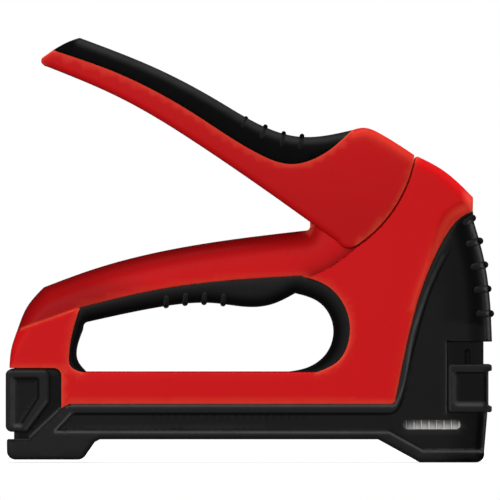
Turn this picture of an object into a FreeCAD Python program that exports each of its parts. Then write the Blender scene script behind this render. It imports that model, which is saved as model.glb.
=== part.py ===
"""Hand staple gun for insulated staples, built piece by piece.

Millimetres. +X points to the nose, +Z up, Y across the tool.
The origin is where the staple leaves: striker mid-plane, tool mid-plane, sole of the nose.
"""

import FreeCAD
import Part

import math
import os

# ---- overall sizes -------------------------------------------------------
opening_length = 103.0  # of the hand opening, along X; the rear half moves with it
opening_height = 38.0  # of the hand opening, along Z; everything above it moves with it
body_half = 15.0  # half width of the thick red body
grip_half = 12.2  # half width of the slim bar and of the cheeks inside the lever
base_rim = 0.5  # the black base stands this far out from the red body
liner_proud = 0.6  # the hand liner stands this far out from the bar

# ---- walls and clearances ------------------------------------------------
wall = 2.5
lever_web = 3.0
lever_gap = 0.4  # lever skirt to cheek, each side
seam_gap = 0.3  # lever front edge to body
slide_gap = 0.2  # moving flat pieces beside each other
shaft_gap = 0.05  # radial, shaft in hole
screw_gap = 0.1  # radial, screw in boss

# ---- lever and its drive --------------------------------------------------
pivot_x, pivot_z = -56.8, 104.8
pivot_r = 3.0
lever_stroke_deg = 36.0
crank_r = 32.4  # lever pivot to lift pin
lift_pin_r = 2.0
lift_bush_r = 3.0
core_inner, core_outer = 3.0, 5.0  # the two plates of the lever core
slot_play = 0.3
slot_bridge = 1.7
yoke_half = 2.0

# ---- striker and power spring ---------------------------------------------
blade_thick, blade_half = 1.4, 4.6
blade_low, blade_high = 0.5, 38.0
carriage_low, carriage_high = 26.0, 40.0
carriage_back, carriage_front, carriage_half = -12.0, 1.0, 7.6
guide_half, guide_thick, guide_front = 8.0, 1.4, -0.4
spring_x, spring_r, spring_wire_r, spring_turns = -6.0, 6.2, 1.15, 9
spring_top = 88.0
seat_thick = 3.6
bumper_thick = 3.2

# ---- magazine ---------------------------------------------------------------
channel_half, channel_wall = 7.9, 1.0
channel_low, channel_high = 10.6, 22.2
channel_back, channel_front = -160.0, -1.2
channel_floor, channel_roof = 0.8, 1.6
channel_seat = 0.2
staple_half, staple_leg = channel_half - channel_wall - 0.7, 1.6
rail_half, rail_wall, rail_high = staple_half - staple_leg - 0.4, 0.8, 17.6
staple_pitch, staple_count = 3.0, 20
staple_play = 0.3
rod_r, rod_z = 1.5, 14.6
pusher_length, pusher_play = 14.0, 0.25
window_back, window_front, window_low, window_high = -26.4, -3.2, 13.2, 16.9

# ---- nose, wire guide and latch ----------------------------------------------
nose_plate_back, nose_plate_thick, nose_plate_high = 1.1, 1.8, 45.0
foot_back, foot_thick, foot_half = 3.1, 1.4, 5.0
track_front, track_half = 5.9, 13.0
slot_x, slot_half, slot_top, slot_depth = -0.5, 1.1, 45.2, 2.0
track_wall = 1.2
slider_low, slider_high, slider_back, slider_wall = 19.8, 39.0, -8.1, 2.0
latch_wall, latch_half = 2.2, 14.5
latch_back, latch_front, latch_low, latch_high = -184.7, -167.3, 12.2, 37.2
post_half = 12.0

# ---- fasteners ------------------------------------------------------------------
screw_r, screw_head_r, screw_head_thick, boss_r = 1.5, 3.0, 2.0, 3.7
body_screws = [(-171.5, 48.0), (-41.0, 59.0), (-36.0, 30.0), (-7.0, 103.6), (-120.0, 29.8)]
bar_screws = [(-112.0, 78.6)]
base_screws = [(-11.0, 5.0), (-167.0, 5.2)]

# The outlines below are drawn for these opening sizes.
drawn_length, drawn_height = 103.0, 38.0
stretch_x, stretch_z = -80.0, 55.0

NODES = {}


def place(x, z):
    """A drawn point, moved with the size of the hand opening."""
    if x < stretch_x:
        x -= opening_length - drawn_length
    if z > stretch_z:
        z += opening_height - drawn_height
    return FreeCAD.Vector(x, 0, z)


def outline(start, *steps):
    """A closed wire in the XZ plane. A step is a point, or a curve or arc through points."""
    here = place(*start)
    edges = []
    for step in steps:
        if step[0] == "curve":
            points = [here] + [place(*p) for p in step[1]]
            spline = Part.BSplineCurve()
            spline.interpolate(points)
            edges.append(spline.toShape())
            here = points[-1]
        elif step[0] == "arc":
            end = place(*step[2])
            edges.append(Part.Arc(here, place(*step[1]), end).toShape())
            here = end
        else:
            end = place(*step)
            edges.append(Part.makeLine(here, end))
            here = end
    if here.distanceToPoint(place(*start)) > 1e-6:
        edges.append(Part.makeLine(here, place(*start)))
    return Part.Wire(edges)


def prism(wire, y_low, y_high):
    """The area in a wire, from y_low to y_high."""
    face = Part.Face(wire)
    face.translate(FreeCAD.Vector(0, y_low, 0))
    return face.extrude(FreeCAD.Vector(0, y_high - y_low, 0))


def plate(wire, half):
    return prism(wire, -half, half)


def both_sides(wire, y_low, y_high):
    return prism(wire, y_low, y_high).fuse(prism(wire, -y_high, -y_low))


def block(x_low, x_high, y_low, y_high, z_low, z_high):
    """A box between two drawn corners."""
    low, high = place(x_low, z_low), place(x_high, z_high)
    corner = FreeCAD.Vector(low.x, y_low, low.z)
    return Part.makeBox(high.x - low.x, y_high - y_low, high.z - low.z, corner)


def bar_y(x, z, r, y_low, y_high):
    """A round bar along Y."""
    centre = place(x, z)
    foot = FreeCAD.Vector(centre.x, y_low, centre.z)
    return Part.makeCylinder(r, y_high - y_low, foot, FreeCAD.Vector(0, 1, 0))


def bar_x(x_low, x_high, r, z):
    """A round bar along X, on the tool's mid-plane."""
    low, high = place(x_low, z), place(x_high, z)
    return Part.makeCylinder(r, high.x - low.x, low, FreeCAD.Vector(1, 0, 0))


def fuse_all(shapes):
    whole = shapes[0].fuse(shapes[1:]) if len(shapes) > 1 else shapes[0]
    return whole.removeSplitter()


def side(shape, sign):
    """The half of a shape on the side of the given sign of Y."""
    big = 400.0
    y_low = 0.0 if sign > 0 else -big
    return shape.common(Part.makeBox(2 * big, big, 2 * big, FreeCAD.Vector(-big, y_low, -big)))


def coil(start, axis, length, mean_r, wire_r, turns):
    """A round-wire coil spring from start along axis."""
    pitch = length / turns
    helix = Part.makeHelix(pitch, length, mean_r)
    centre = FreeCAD.Vector(mean_r, 0, 0)
    section = Part.Wire([Part.makeCircle(wire_r, centre, FreeCAD.Vector(0, 1, 0))])
    spring = Part.Wire(helix).makePipeShell([section], True, True)
    turn = FreeCAD.Rotation(FreeCAD.Vector(0, 0, 1), axis)
    spring.Placement = FreeCAD.Placement(start, turn)
    return spring


def keep(name, shape):
    """Stores a piece under its node name."""
    NODES[name] = shape


# ---- outlines -----------------------------------------------------------------
HOLE_TOP = ("curve", [(-123.2, 68.9), (-91.2, 72.8), (-67.2, 74.3)])
HOLE_FRONT = ("curve", [(-56.6, 70.4), (-49.0, 61.0), (-47.6, 50.5), (-51.7, 40.8), (-60.5, 36.0)])
HOLE_REAR = ("curve", [(-158.9, 38.6), (-159.4, 42.4), (-155.0, 61.6)])
FRONT_EDGE = [(-3.0, 97.6), (-9.9, 88.8), (-18.4, 69.6), (-23.8, 50.4), (-29.0, 25.4)]


def wide_area():
    """The thick part of the red body: front block, lower bar and rear column."""
    return outline(
        (-180.2, 52.6),
        (-155.8, 61.3),
        (-63.4, 74.1),
        ("curve", [(-55.2, 78.0), (-44.2, 86.4)]),
        ("arc", (-29.3, 101.5), (-21.4, 121.2)),
        ("arc", (-20.9, 121.9), (-20.0, 121.9)),
        ("curve", [(-11.2, 117.2), (1.8, 105.7)]),
        (1.7, 100.2),
        ("curve", FRONT_EDGE),
        ("arc", (-29.6, 23.9), (-31.0, 23.2)),
        (-159.2, 23.2),
        (-162.5, 21.6),
        (-162.5, 34.6),
        ("arc", (-163.4, 36.7), (-165.5, 37.6)),
        (-183.2, 37.6),
        ("curve", [(-182.5, 45.2), (-180.2, 52.6)]),
    )


def slim_area():
    """The slim part: the bar over the hand and the cheeks that the lever covers."""
    return outline(
        (-180.2, 52.6),
        (-155.8, 61.3),
        (-63.4, 74.1),
        (-40.0, 80.0),
        (-30.0, 117.5),
        ("curve", [(-45.0, 123.5), (-57.0, 121.5), (-63.2, 111.5)]),
        (-63.2, 94.3),
        ("arc", (-63.7, 93.0), (-65.0, 92.5)),
        ("curve", [(-107.2, 87.0), (-151.2, 76.6), (-169.7, 69.8)]),
        ("curve", [(-176.6, 61.5), (-180.2, 52.6)]),
    )


def hole_area():
    """The hand opening in the red body, which the liner is seated in."""
    return outline((-154.5, 36.0), HOLE_REAR, HOLE_TOP, HOLE_FRONT)


def base_area():
    """The black base and front, drawn over the red body's area, which is cut away."""
    return outline(
        (-184.2, 4.5),
        (-184.2, 8.9),
        (-175.6, 8.9),
        (-163.0, 21.0),
        (-160.6, 23.2),
        (-60.0, 23.2),
        (-30.0, 60.0),
        (-8.0, 100.2),
        (1.7, 100.2),
        (2.1, 96.2),
        ("curve", [(6.4, 80.2), (8.8, 61.6), (9.4, 48.1)]),
        (track_front, 48.1),
        (track_front, slider_low),
        (7.5, slider_low),
        (6.2, 4.4),
        (6.2, 3.2),
        (2.8, 0.0),
        (-19.6, 0.0),
        (-36.2, 9.2),
        (-147.1, 9.2),
        (-152.6, 3.2),
        (-156.0, 1.1),
        (-180.8, 1.1),
        ("arc", (-183.2, 2.1), (-184.2, 4.5)),
    )


def column_area():
    """The space for the striker, its spring and the yoke, open upwards under the lever."""
    return outline(
        (-44.4, 40.5),
        (-44.4, 62.0),
        (-50.5, 73.0),
        (-60.7, 84.0),
        (-60.7, 93.5),
        (-68.0, 93.5),
        (-68.0, 126.0),
        (-28.0, 126.0),
        (-22.6, 118.9),
        (-15.4, 116.2),
        (-4.6, 107.0),
        (-1.4, 103.2),
        (-0.8, 97.0),
        (2.0, 80.0),
        (4.4, 58.0),
        (track_front - track_wall, 48.0),
        (track_front - track_wall, channel_high + channel_seat),
        (-25.0, channel_high + channel_seat),
        (-25.0, 26.0),
        (-157.0, 26.0),
        (-157.0, 33.4),
        (-50.5, 33.4),
    )


def front_space():
    """The part of the striker space that lies in the thick front block."""
    return outline(
        (-44.4, 40.5),
        (-44.4, 62.0),
        (-46.5, 78.0),
        (-24.0, 104.0),
        (-15.4, 116.2),
        (-4.6, 107.0),
        (-1.4, 103.2),
        (-0.8, 97.0),
        (2.0, 80.0),
        (4.4, 58.0),
        (4.4, 50.6),
        (-20.0, 50.6),
        (-20.0, 36.0),
        (-25.0, 26.0),
        (-157.0, 26.0),
        (-157.0, 33.4),
        (-50.5, 33.4),
    )


def bar_space():
    return outline(
        (-148.0, 67.4),
        ("curve", [(-91.2, 76.0), (-70.0, 77.6)]),
        (-70.0, 88.0),
        ("curve", [(-107.0, 83.6), (-148.0, 74.0)]),
    )


def rear_space():
    return outline((-179.4, 41.0), ("curve", [(-178.4, 47.0), (-176.0, 53.0)]), (-164.0, 57.0), (-163.0, 41.0))


# ---- red body and black base -----------------------------------------------------
def make_housing():
    red = fuse_all([plate(wide_area(), body_half), plate(slim_area(), grip_half)])
    red = red.cut(plate(hole_area(), body_half + 1))
    base = fuse_all([plate(base_area(), body_half + base_rim), plate(post_area(), post_half)])
    base = base.cut(plate(wide_area(), body_half + base_rim + 1))
    base = base.cut(both_sides(track_cut(), track_half, body_half + 2))
    base = base.cut(both_sides(slot_area(), track_half - slot_depth, body_half + 2))
    hollow = fuse_all(
        [
            plate(column_area(), grip_half - wall),
            plate(front_space(), body_half - wall),
            plate(bar_space(), grip_half - wall),
            plate(rear_space(), body_half - wall),
        ]
    )
    red = red.cut(hollow)
    base = base.cut(hollow)
    base = base.cut(magazine_space())
    base = cut_nose(base)
    for x, z in body_screws:
        post = bar_y(x, z, boss_r, -body_half + wall / 2, body_half - wall / 2)
        red = red.fuse(post)
    for x, z in bar_screws:
        red = red.fuse(bar_y(x, z, boss_r, -grip_half + wall / 2, grip_half - wall / 2))
    red = red.cut(bar_y(pivot_x, pivot_z, pivot_r, -grip_half + 1, grip_half - 1))
    red = red.cut(fuse_all([screw_hole(x, z, body_half) for x, z in body_screws]))
    red = red.cut(fuse_all([screw_hole(x, z, grip_half) for x, z in bar_screws]))
    base = base.cut(fuse_all([screw_hole(x, z, body_half) for x, z in base_screws]))
    for name, sign in (("right", -1), ("left", 1)):
        keep("body_shell_" + name, side(red, sign))
        keep("base_housing_" + name, side(base, sign))


def track_cut():
    """The side recess that the wire guide slides in."""
    return outline((-8.8, slider_low), (-8.8, 48.1), (12.0, 48.1), (12.0, slider_low))


def slot_area():
    """The guide slot in the floor of the track."""
    left, right, shoulder = slot_x - slot_half, slot_x + slot_half, slot_top - slot_half
    return outline(
        (left, slider_low + 2),
        (left, shoulder),
        ("arc", (slot_x, slot_top), (right, shoulder)),
        (right, slider_low + 2),
    )


def post_area():
    """The slim rear post that the latch closes over."""
    return outline((-181.4, 8.9), (-181.4, 37.6), (-162.5, 37.6), (-162.5, 8.9))


def magazine_space():
    half = channel_half + channel_seat
    low, high = channel_low - channel_seat, channel_high + channel_seat
    tunnel = block(channel_back - channel_seat, 4.7, -half, half, low, high)
    door = block(-190.0, channel_back, -staple_half - 0.8, staple_half + 0.8, channel_low, 21.0)
    window = block(window_back, window_front, -20, 20, window_low, window_high)
    return fuse_all([tunnel, door, window])


def cut_nose(base):
    """The opening that blade, nose plate and wire guide foot pass through."""
    half = channel_half + channel_seat
    mouth = block(-blade_thick / 2 - 0.5, foot_back + foot_thick + slide_gap, -half, half, -1, channel_high)
    neck = block(0.0, 10.0, -2.2, 2.2, 23.5, 42.5)
    tabs = block(-1.5, 0.5, -20, 20, 27.0, 45.2)
    return base.cut(fuse_all([mouth, neck, tabs]))


def screw_hole(x, z, half):
    """A stepped hole for one screw, its head on the left side."""
    head_y = half - wall + 0.5
    shank = bar_y(x, z, screw_r + screw_gap, -half + wall + 0.5, half + 1)
    return shank.fuse(bar_y(x, z, screw_head_r + screw_gap, head_y - screw_head_thick, half + 1))


def screw(x, z, half):
    head_y = half - wall + 0.5
    shank = bar_y(x, z, screw_r, -half + wall + 1.0, head_y - screw_head_thick)
    head = bar_y(x, z, screw_head_r, head_y - screw_head_thick, head_y)
    slots = []
    for turn in (0, 90):
        slot = Part.makeBox(3.6, 2.0, 0.8, FreeCAD.Vector(-1.8, head_y - 1.0, -0.4))
        slot.rotate(FreeCAD.Vector(), FreeCAD.Vector(0, 1, 0), turn)
        slot.translate(place(x, z))
        slots.append(slot)
    return shank.fuse(head).cut(slots[0].fuse(slots[1]))


def make_screws():
    body = [screw(x, z, body_half) for x, z in body_screws]
    body += [screw(x, z, grip_half) for x, z in bar_screws]
    keep("body_screws", Part.makeCompound(body))
    keep("base_screws", Part.makeCompound([screw(x, z, body_half) for x, z in base_screws]))


# ---- rubber pieces -----------------------------------------------------------------
def make_hand_liner():
    """The rubber liner round the top, front and rear of the hand opening."""
    inner = outline(
        (-152.8, 35.0),
        (-152.8, 36.0),
        ("curve", [(-156.0, 40.0), (-154.1, 52.8)]),
        ("curve", [(-153.5, 55.2), (-151.0, 56.2)]),
        ("curve", [(-123.2, 61.9), (-101.0, 63.4), (-87.2, 61.9), (-79.2, 62.8), (-69.2, 67.4)]),
        ("curve", [(-59.2, 63.4), (-54.0, 54.0), (-56.8, 43.2), (-64.5, 37.6), (-72.0, 36.0)]),
        (-72.0, 35.0),
    )
    liner = plate(hole_area(), grip_half + liner_proud).cut(plate(inner, body_half + 1))
    ribs = [block(x - 1.1, x + 1.1, -grip_half, grip_half, 61.4, 64.5) for x in (-120.8, -113.2, -105.6, -98.0)]
    keep("hand_liner", fuse_all([liner] + ribs))


def make_front_grip():
    """The rubber front with five ribs that wrap round it."""
    area = outline(
        (2.1, 96.2),
        ("curve", [(6.4, 80.2), (8.8, 61.6), (9.4, 48.1)]),
        (6.9, 48.1),
        ("curve", [(6.4, 60.5), (4.1, 79.6), (0.0, 96.2)]),
    )
    skin = plate(area, body_half + base_rim)
    tips = [(3.0, 96.4), (5.9, 87.6), (7.9, 78.3), (9.2, 69.0), (10.2, 59.3)]
    ribs = [block(x - 5.2, x, -body_half, body_half, z - 1.4, z + 1.4) for x, z in tips]
    grip = fuse_all([skin] + ribs)
    keep("front_grip", grip)
    for name in ("base_housing_right", "base_housing_left"):
        NODES[name] = NODES[name].cut(grip)
    for name in ("body_shell_right", "body_shell_left"):
        NODES[name] = NODES[name].cut(grip)


# ---- lever -----------------------------------------------------------------------------
def lever_area():
    g = seam_gap
    return outline(
        (-165.8, 164.4),
        ("curve", [(-160.5, 167.4), (-155.2, 169.4)]),
        ("curve", [(-123.2, 156.6), (-99.2, 143.8), (-83.2, 134.7), (-68.0, 130.0), (-46.4, 132.6)]),
        ("curve", [(-42.2, 133.5), (-35.2, 131.1), (-21.4 - g, 122.6)]),
        (-21.4 - g, 121.2 + g),
        ("arc", (-29.3 - g, 101.5 + g), (-44.2 - g, 86.4 + g)),
        ("arc", (-48.0, 85.5), (-52.4, 88.1)),
        ("curve", [(-75.2, 104.5), (-107.2, 126.5), (-139.2, 145.6), (-168.8, 158.3)]),
        ("arc", (-170.5, 159.7), (-169.6, 161.7)),
    )


def grip_area():
    return outline(
        (-165.8, 164.4),
        ("curve", [(-160.5, 167.4), (-155.2, 169.4)]),
        (-155.2, 172.0),
        (-46.4, 172.0),
        (-46.4, 132.6),
        ("curve", [(-55.2, 124.9), (-71.2, 119.0), (-83.2, 122.8), (-107.2, 137.6), (-139.2, 154.9), (-165.8, 164.4)]),
    )


def web_line(drop):
    """Points that follow the lever's top, drop below it."""
    top = [(-157.0, 167.2), (-123.2, 156.6), (-99.2, 143.8), (-83.2, 134.7), (-68.0, 130.0), (-46.4, 132.6)]
    return [(x, z - drop) for x, z in top]


def make_lever():
    inside = outline(
        (-157.0, 150.0),
        web_line(lever_web * 1.2)[0],
        ("curve", web_line(lever_web * 1.2)[1:]),
        ("curve", [(-42.2, 129.8), (-36.0, 127.6), (-27.0, 121.8)]),
        (-10.0, 112.0),
        (-30.0, 70.0),
        (-60.0, 70.0),
    )
    under, lower = web_line(lever_web * 1.2), web_line(lever_web * 1.2 + 2.6)
    lower.reverse()
    spine = outline(under[0], ("curve", under[1:]), lower[0], ("curve", lower[1:]))
    skirt_inner = grip_half + lever_gap
    whole = plate(lever_area(), body_half)
    grip = plate(grip_area(), body_half)
    inside_solid = plate(inside, skirt_inner)
    shell = fuse_all([whole.cut(grip).cut(inside_solid), plate(spine, skirt_inner)])
    for x, z in core_pins():
        shell = shell.cut(bar_y(x, z, lift_pin_r, -body_half + 1, body_half - 1))
    keep("lever_shell", shell)
    ribs = []
    for x, z, lean, proud in lever_ribs():
        foot, top = z - 6.0, z + proud
        area = outline((x - 1.0, foot), (x + 1.0, foot), (x + 1.0 + lean, top), (x - 1.0 + lean, top))
        ribs.append(plate(area, body_half))
    cap = whole.common(grip).cut(inside_solid)
    proud_ribs = fuse_all(ribs).cut(inside_solid)
    keep("lever_grip", fuse_all([cap, proud_ribs]))


def lever_ribs():
    """Foot, lean and height of the four grip ribs on top of the lever."""
    return [(-92.0, 137.4, 2.6, 0.2), (-84.4, 133.9, 2.6, 0.4), (-75.8, 131.3, 1.4, 1.0), (-68.2, 130.2, 1.2, 1.0)]


def core_pins():
    """Where the two pins hold the core between the lever's skirts."""
    return [(-84.5, 117.0), (-74.5, 115.6)]


def lift_pin():
    """Where the lift pin sits with the lever at rest."""
    angle = -math.radians(lever_stroke_deg / 2)
    return pivot_x + crank_r * math.cos(angle), pivot_z + crank_r * math.sin(angle)


def make_lever_core():
    """Two steel plates from the lever's back to the lift pin, joined by a block."""
    lift_x, lift_z = lift_pin()
    area = outline(
        (-90.0, 124.5),
        (-76.0, 123.5),
        (-66.0, 123.0),
        (-50.0, 113.0),
        (lift_x + 1.0, lift_z + 4.2),
        ("arc", (lift_x + 4.3, lift_z), (lift_x, lift_z - 4.3)),
        (-50.0, 98.0),
        (-63.0, 99.5),
        (-72.0, 112.0),
        (-90.0, 116.4),
    )
    tie = outline((-90.0, 124.5), (-76.0, 123.5), (-72.0, 112.0), (-90.0, 116.4))
    core = fuse_all([both_sides(area, core_inner, core_outer), plate(tie, core_inner)])
    core = core.cut(bar_y(pivot_x, pivot_z, pivot_r + shaft_gap, -20, 20))
    core = core.cut(bar_y(lift_x, lift_z, lift_pin_r, -20, 20))
    for x, z in core_pins():
        core = core.cut(bar_y(x, z, lift_pin_r, -20, 20))
    keep("lever_core", core)
    keep("lever_pivot_pin", bar_y(pivot_x, pivot_z, pivot_r, -grip_half + 1, grip_half - 1))
    pins = [bar_y(x, z, lift_pin_r, -body_half + 1, body_half - 1) for x, z in core_pins()]
    keep("lever_core_pins", Part.makeCompound(pins))
    keep("lift_pin", bar_y(lift_x, lift_z, lift_pin_r, -core_outer, core_outer))
    bush = bar_y(lift_x, lift_z, lift_bush_r, -yoke_half - 0.5, yoke_half + 0.5)
    keep("lift_bush", bush.cut(bar_y(lift_x, lift_z, lift_pin_r, -20, 20)))


# ---- striker --------------------------------------------------------------------------------
def make_striker():
    lift_x, lift_z = lift_pin()
    swing = crank_r * (1 - math.cos(math.radians(lever_stroke_deg / 2)))
    half_slot = lift_bush_r + slot_play
    slot_back, slot_front = lift_x - half_slot, lift_x + swing + half_slot
    top = lift_z + half_slot + slot_bridge
    area = outline(
        (slot_back - 3.4, top),
        (slot_front - 3.6, top),
        (slot_front + 2.4, top - 3.4),
        (slot_front + 2.4, lift_z - half_slot - 2.0),
        (-14.0, 82.0),
        (-14.0, carriage_high),
        (carriage_front - 3.0, carriage_high - 2.0),
        (carriage_front - 3.0, carriage_low + 4.0),
        (-20.5, carriage_low + 4.0),
        (-20.5, 80.0),
        (slot_back - 3.4, lift_z - half_slot - 3.6),
    )
    slot = block(slot_back, slot_front, -5, 5, lift_z - half_slot, lift_z + half_slot)
    yoke = plate(area, yoke_half).cut(slot)
    carriage = block(carriage_back, carriage_front, -carriage_half, carriage_half, carriage_low, carriage_high)
    blade = block(-blade_thick / 2, blade_thick / 2, -blade_half, blade_half, blade_low, blade_high)
    carriage = carriage.cut(yoke).cut(blade)
    keep("lift_yoke", yoke.cut(blade))
    keep("striker_carriage", carriage)
    keep("striker_blade", blade)
    spring_low = place(spring_x, carriage_high + spring_wire_r)
    spring_high = place(spring_x, spring_top - spring_wire_r)
    rise = spring_high.z - spring_low.z
    mean_r = spring_r - spring_wire_r
    spring = coil(spring_low, FreeCAD.Vector(0, 0, 1), rise, mean_r, spring_wire_r, spring_turns)
    keep("power_spring", spring)
    seat = block(-13.2, guide_front, -guide_half, guide_half, spring_top, spring_top + seat_thick)
    keep("spring_seat", seat)
    half = channel_half - 0.3
    rubber = block(carriage_back, -1.6, -half, half, channel_high, channel_high + bumper_thick)
    keep("striker_bumper", rubber)
    guide = outline(
        (-12.5, channel_high + 1.0),
        (-12.5, 32.0),
        (-18.0, 50.0),
        (-18.0, spring_top + seat_thick),
        (guide_front, spring_top + seat_thick),
        (guide_front, channel_high + 1.0),
    )
    outer = guide_half + guide_thick
    keep("striker_guide_right", prism(guide, -outer, -guide_half))
    keep("striker_guide_left", prism(guide, guide_half, outer))


# ---- nose and wire guide ----------------------------------------------------------------------
def make_nose():
    half = channel_half - 0.1
    nose = block(nose_plate_back, nose_plate_back + nose_plate_thick, -half, half, 0.0, nose_plate_high)
    keep("nose_plate", nose)
    foot = block(foot_back, foot_back + foot_thick, -foot_half, foot_half, 0.4, 32.0)
    neck = block(foot_back + foot_thick, track_front + slide_gap, -2.0, 2.0, 24.0, 32.0)
    keep("wire_guide_foot", foot.fuse(neck).removeSplitter())
    inner_half, outer_half = track_half + slide_gap, body_half + base_rim - 0.2
    front = track_front + slide_gap
    cap = block(slider_back, front + slider_wall - 0.2, -outer_half, outer_half, slider_low + slide_gap, slider_high)
    cap = cap.cut(block(slider_back - 1, front, -inner_half, inner_half, slider_low - 1, slider_high + 1))
    for low, high in ((slider_low + slide_gap, slider_low + 2.8), (slider_high - 2.7, slider_high)):
        flange = block(slider_back, front + slider_wall + 1.1, -outer_half, outer_half, low, high)
        cap = cap.fuse(flange.cut(block(slider_back - 1, front, -inner_half, inner_half, low - 1, high + 1)))
    for sign in (-1, 1):
        y_low, y_high = sorted((sign * (inner_half - 2.4), sign * (inner_half + 0.5)))
        cap = cap.fuse(block(-1.4, 0.4, y_low, y_high, 28.0, 31.0))
    keep("wire_guide_slider", cap.removeSplitter())


# ---- magazine ------------------------------------------------------------------------------------
def make_magazine():
    half, low, high = channel_half, channel_low, channel_high
    channel = block(channel_back, channel_front, -half, half, low, high)
    bore_half = half - channel_wall
    floor, roof = low + channel_floor, high - channel_roof
    channel = channel.cut(block(channel_back - 1, channel_front + 1, -bore_half, bore_half, floor, roof))
    channel = channel.cut(block(window_back, window_front, -20, 20, window_low, window_high))
    keep("magazine_channel", channel)

    rail = block(channel_back, channel_front, -rail_half, rail_half, floor, rail_high)
    inner = rail_half - rail_wall
    rail = rail.cut(block(channel_back - 1, channel_front - 1.2, -inner, inner, floor + rail_wall, rail_high + 1))
    keep("staple_rail", rail)

    leg_inner = staple_half - staple_leg
    strip_low, strip_high = floor + staple_play, roof - staple_play
    staples = []
    for i in range(staple_count):
        front = channel_front - i * staple_pitch
        one = block(front - staple_pitch, front - 0.25, -staple_half, staple_half, strip_low, strip_high)
        if i < staple_count - 1:
            back = front - staple_pitch
            one = one.fuse(block(back - 0.3, back + 0.1, -leg_inner, leg_inner, strip_high - 1.2, strip_high))
        staples.append(one)
    strip = fuse_all(staples)
    straddle = block(-400, 10, -leg_inner, leg_inner, strip_low - 1, rail_high + staple_play)
    keep("staple_strip", strip.cut(straddle).removeSplitter())

    push_front = channel_front - staple_count * staple_pitch - pusher_play
    push_back = push_front - pusher_length
    saddle = block(push_back, push_front, -staple_half, staple_half, strip_low, strip_high)
    saddle = saddle.cut(straddle)
    boss = block(push_back, push_front, -inner + pusher_play, inner - pusher_play, floor + rail_wall + 0.3, strip_high)
    saddle = saddle.fuse(boss).removeSplitter()
    keep("staple_pusher", saddle.cut(bar_x(-400, 10, rod_r + shaft_gap, rod_z)))

    rod_back, rod_front = latch_back + latch_wall, -12.0
    keep("pusher_rod", bar_x(rod_back, rod_front, rod_r, rod_z))
    start, end = place(latch_back + latch_wall + 1.4, rod_z), place(push_back - 1.0, rod_z)
    spring = coil(start, FreeCAD.Vector(1, 0, 0), end.x - start.x, 2.1, 0.3, 34)
    keep("pusher_spring", spring)


def make_latch():
    """The pull-out cap that closes over the rear post and carries the pusher rod."""
    corner = 2.5
    area = outline(
        (latch_back, latch_low + corner),
        (latch_back, latch_high - corner),
        (latch_back + corner, latch_high),
        (latch_front - corner, latch_high),
        (latch_front, latch_high - corner),
        (latch_front, 24.0),
        (-176.0, latch_low),
        (latch_back + corner, latch_low),
    )
    cap = plate(area, latch_half)
    inner = latch_half - latch_wall
    cap = cap.cut(block(latch_back + latch_wall + 0.8, -100, -inner, inner, 0, 60))
    keep("magazine_latch", cap.cut(bar_x(latch_back + latch_wall, -150, rod_r, rod_z)))


def main():
    make_housing()
    make_screws()
    make_hand_liner()
    make_front_grip()
    make_lever()
    make_lever_core()
    make_striker()
    make_nose()
    make_magazine()
    make_latch()
    os.makedirs("parts", exist_ok=True)
    for name, shape in NODES.items():
        shape.exportStep("parts/" + name + ".step")
        solids = shape.Solids
        volume = sum(s.Volume for s in solids)
        print(f"{name:24s} solids {len(solids)} valid {shape.isValid()} volume {volume:9.1f}")


main()
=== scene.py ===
"""Finished look of the staple gun: moulded shells, rubber grips, staples and the studio."""

import math

import bmesh
import bpy
import numpy as np
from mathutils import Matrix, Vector
from mathutils.geometry import delaunay_2d_cdt


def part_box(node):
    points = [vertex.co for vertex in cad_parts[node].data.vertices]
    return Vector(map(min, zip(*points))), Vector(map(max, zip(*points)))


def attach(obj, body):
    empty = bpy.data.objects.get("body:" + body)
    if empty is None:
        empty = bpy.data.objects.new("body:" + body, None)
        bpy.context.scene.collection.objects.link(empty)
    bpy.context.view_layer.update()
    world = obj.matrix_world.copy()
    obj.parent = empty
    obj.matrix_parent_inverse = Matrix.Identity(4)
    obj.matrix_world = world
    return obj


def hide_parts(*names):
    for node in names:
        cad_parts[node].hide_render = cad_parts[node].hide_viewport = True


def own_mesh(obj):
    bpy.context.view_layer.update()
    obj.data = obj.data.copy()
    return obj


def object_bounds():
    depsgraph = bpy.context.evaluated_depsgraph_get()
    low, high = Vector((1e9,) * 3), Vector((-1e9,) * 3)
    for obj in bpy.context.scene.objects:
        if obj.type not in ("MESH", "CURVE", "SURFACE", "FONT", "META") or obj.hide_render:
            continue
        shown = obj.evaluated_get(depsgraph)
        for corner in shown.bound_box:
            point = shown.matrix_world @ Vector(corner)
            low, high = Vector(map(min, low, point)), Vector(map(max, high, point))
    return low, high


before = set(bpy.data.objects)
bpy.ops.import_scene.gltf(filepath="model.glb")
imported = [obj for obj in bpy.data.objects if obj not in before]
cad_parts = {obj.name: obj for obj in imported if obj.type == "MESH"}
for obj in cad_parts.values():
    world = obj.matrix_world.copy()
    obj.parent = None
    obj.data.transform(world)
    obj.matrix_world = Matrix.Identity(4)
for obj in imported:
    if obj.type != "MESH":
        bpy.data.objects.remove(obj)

bl_info = {
    "name": "Staple gun shells and studio",
    "version": (1, 0, 0),
    "blender": (4, 5, 0),
    "location": "View3D > Sidebar > Staple gun",
    "description": "Builds the moulded pieces, finishes and studio of a hand staple gun round its CAD frame",
    "category": "Object",
}

CAD_BOX = [list(corner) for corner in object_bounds()]
MM = 0.001  # outlines below are in millimetres in the frame: X to the nose, Z up


def node_half(node):
    """Half the width of a CAD node across the tool, in millimetres."""
    low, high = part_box(node)
    return max(-low.y, high.y) / MM


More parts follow.
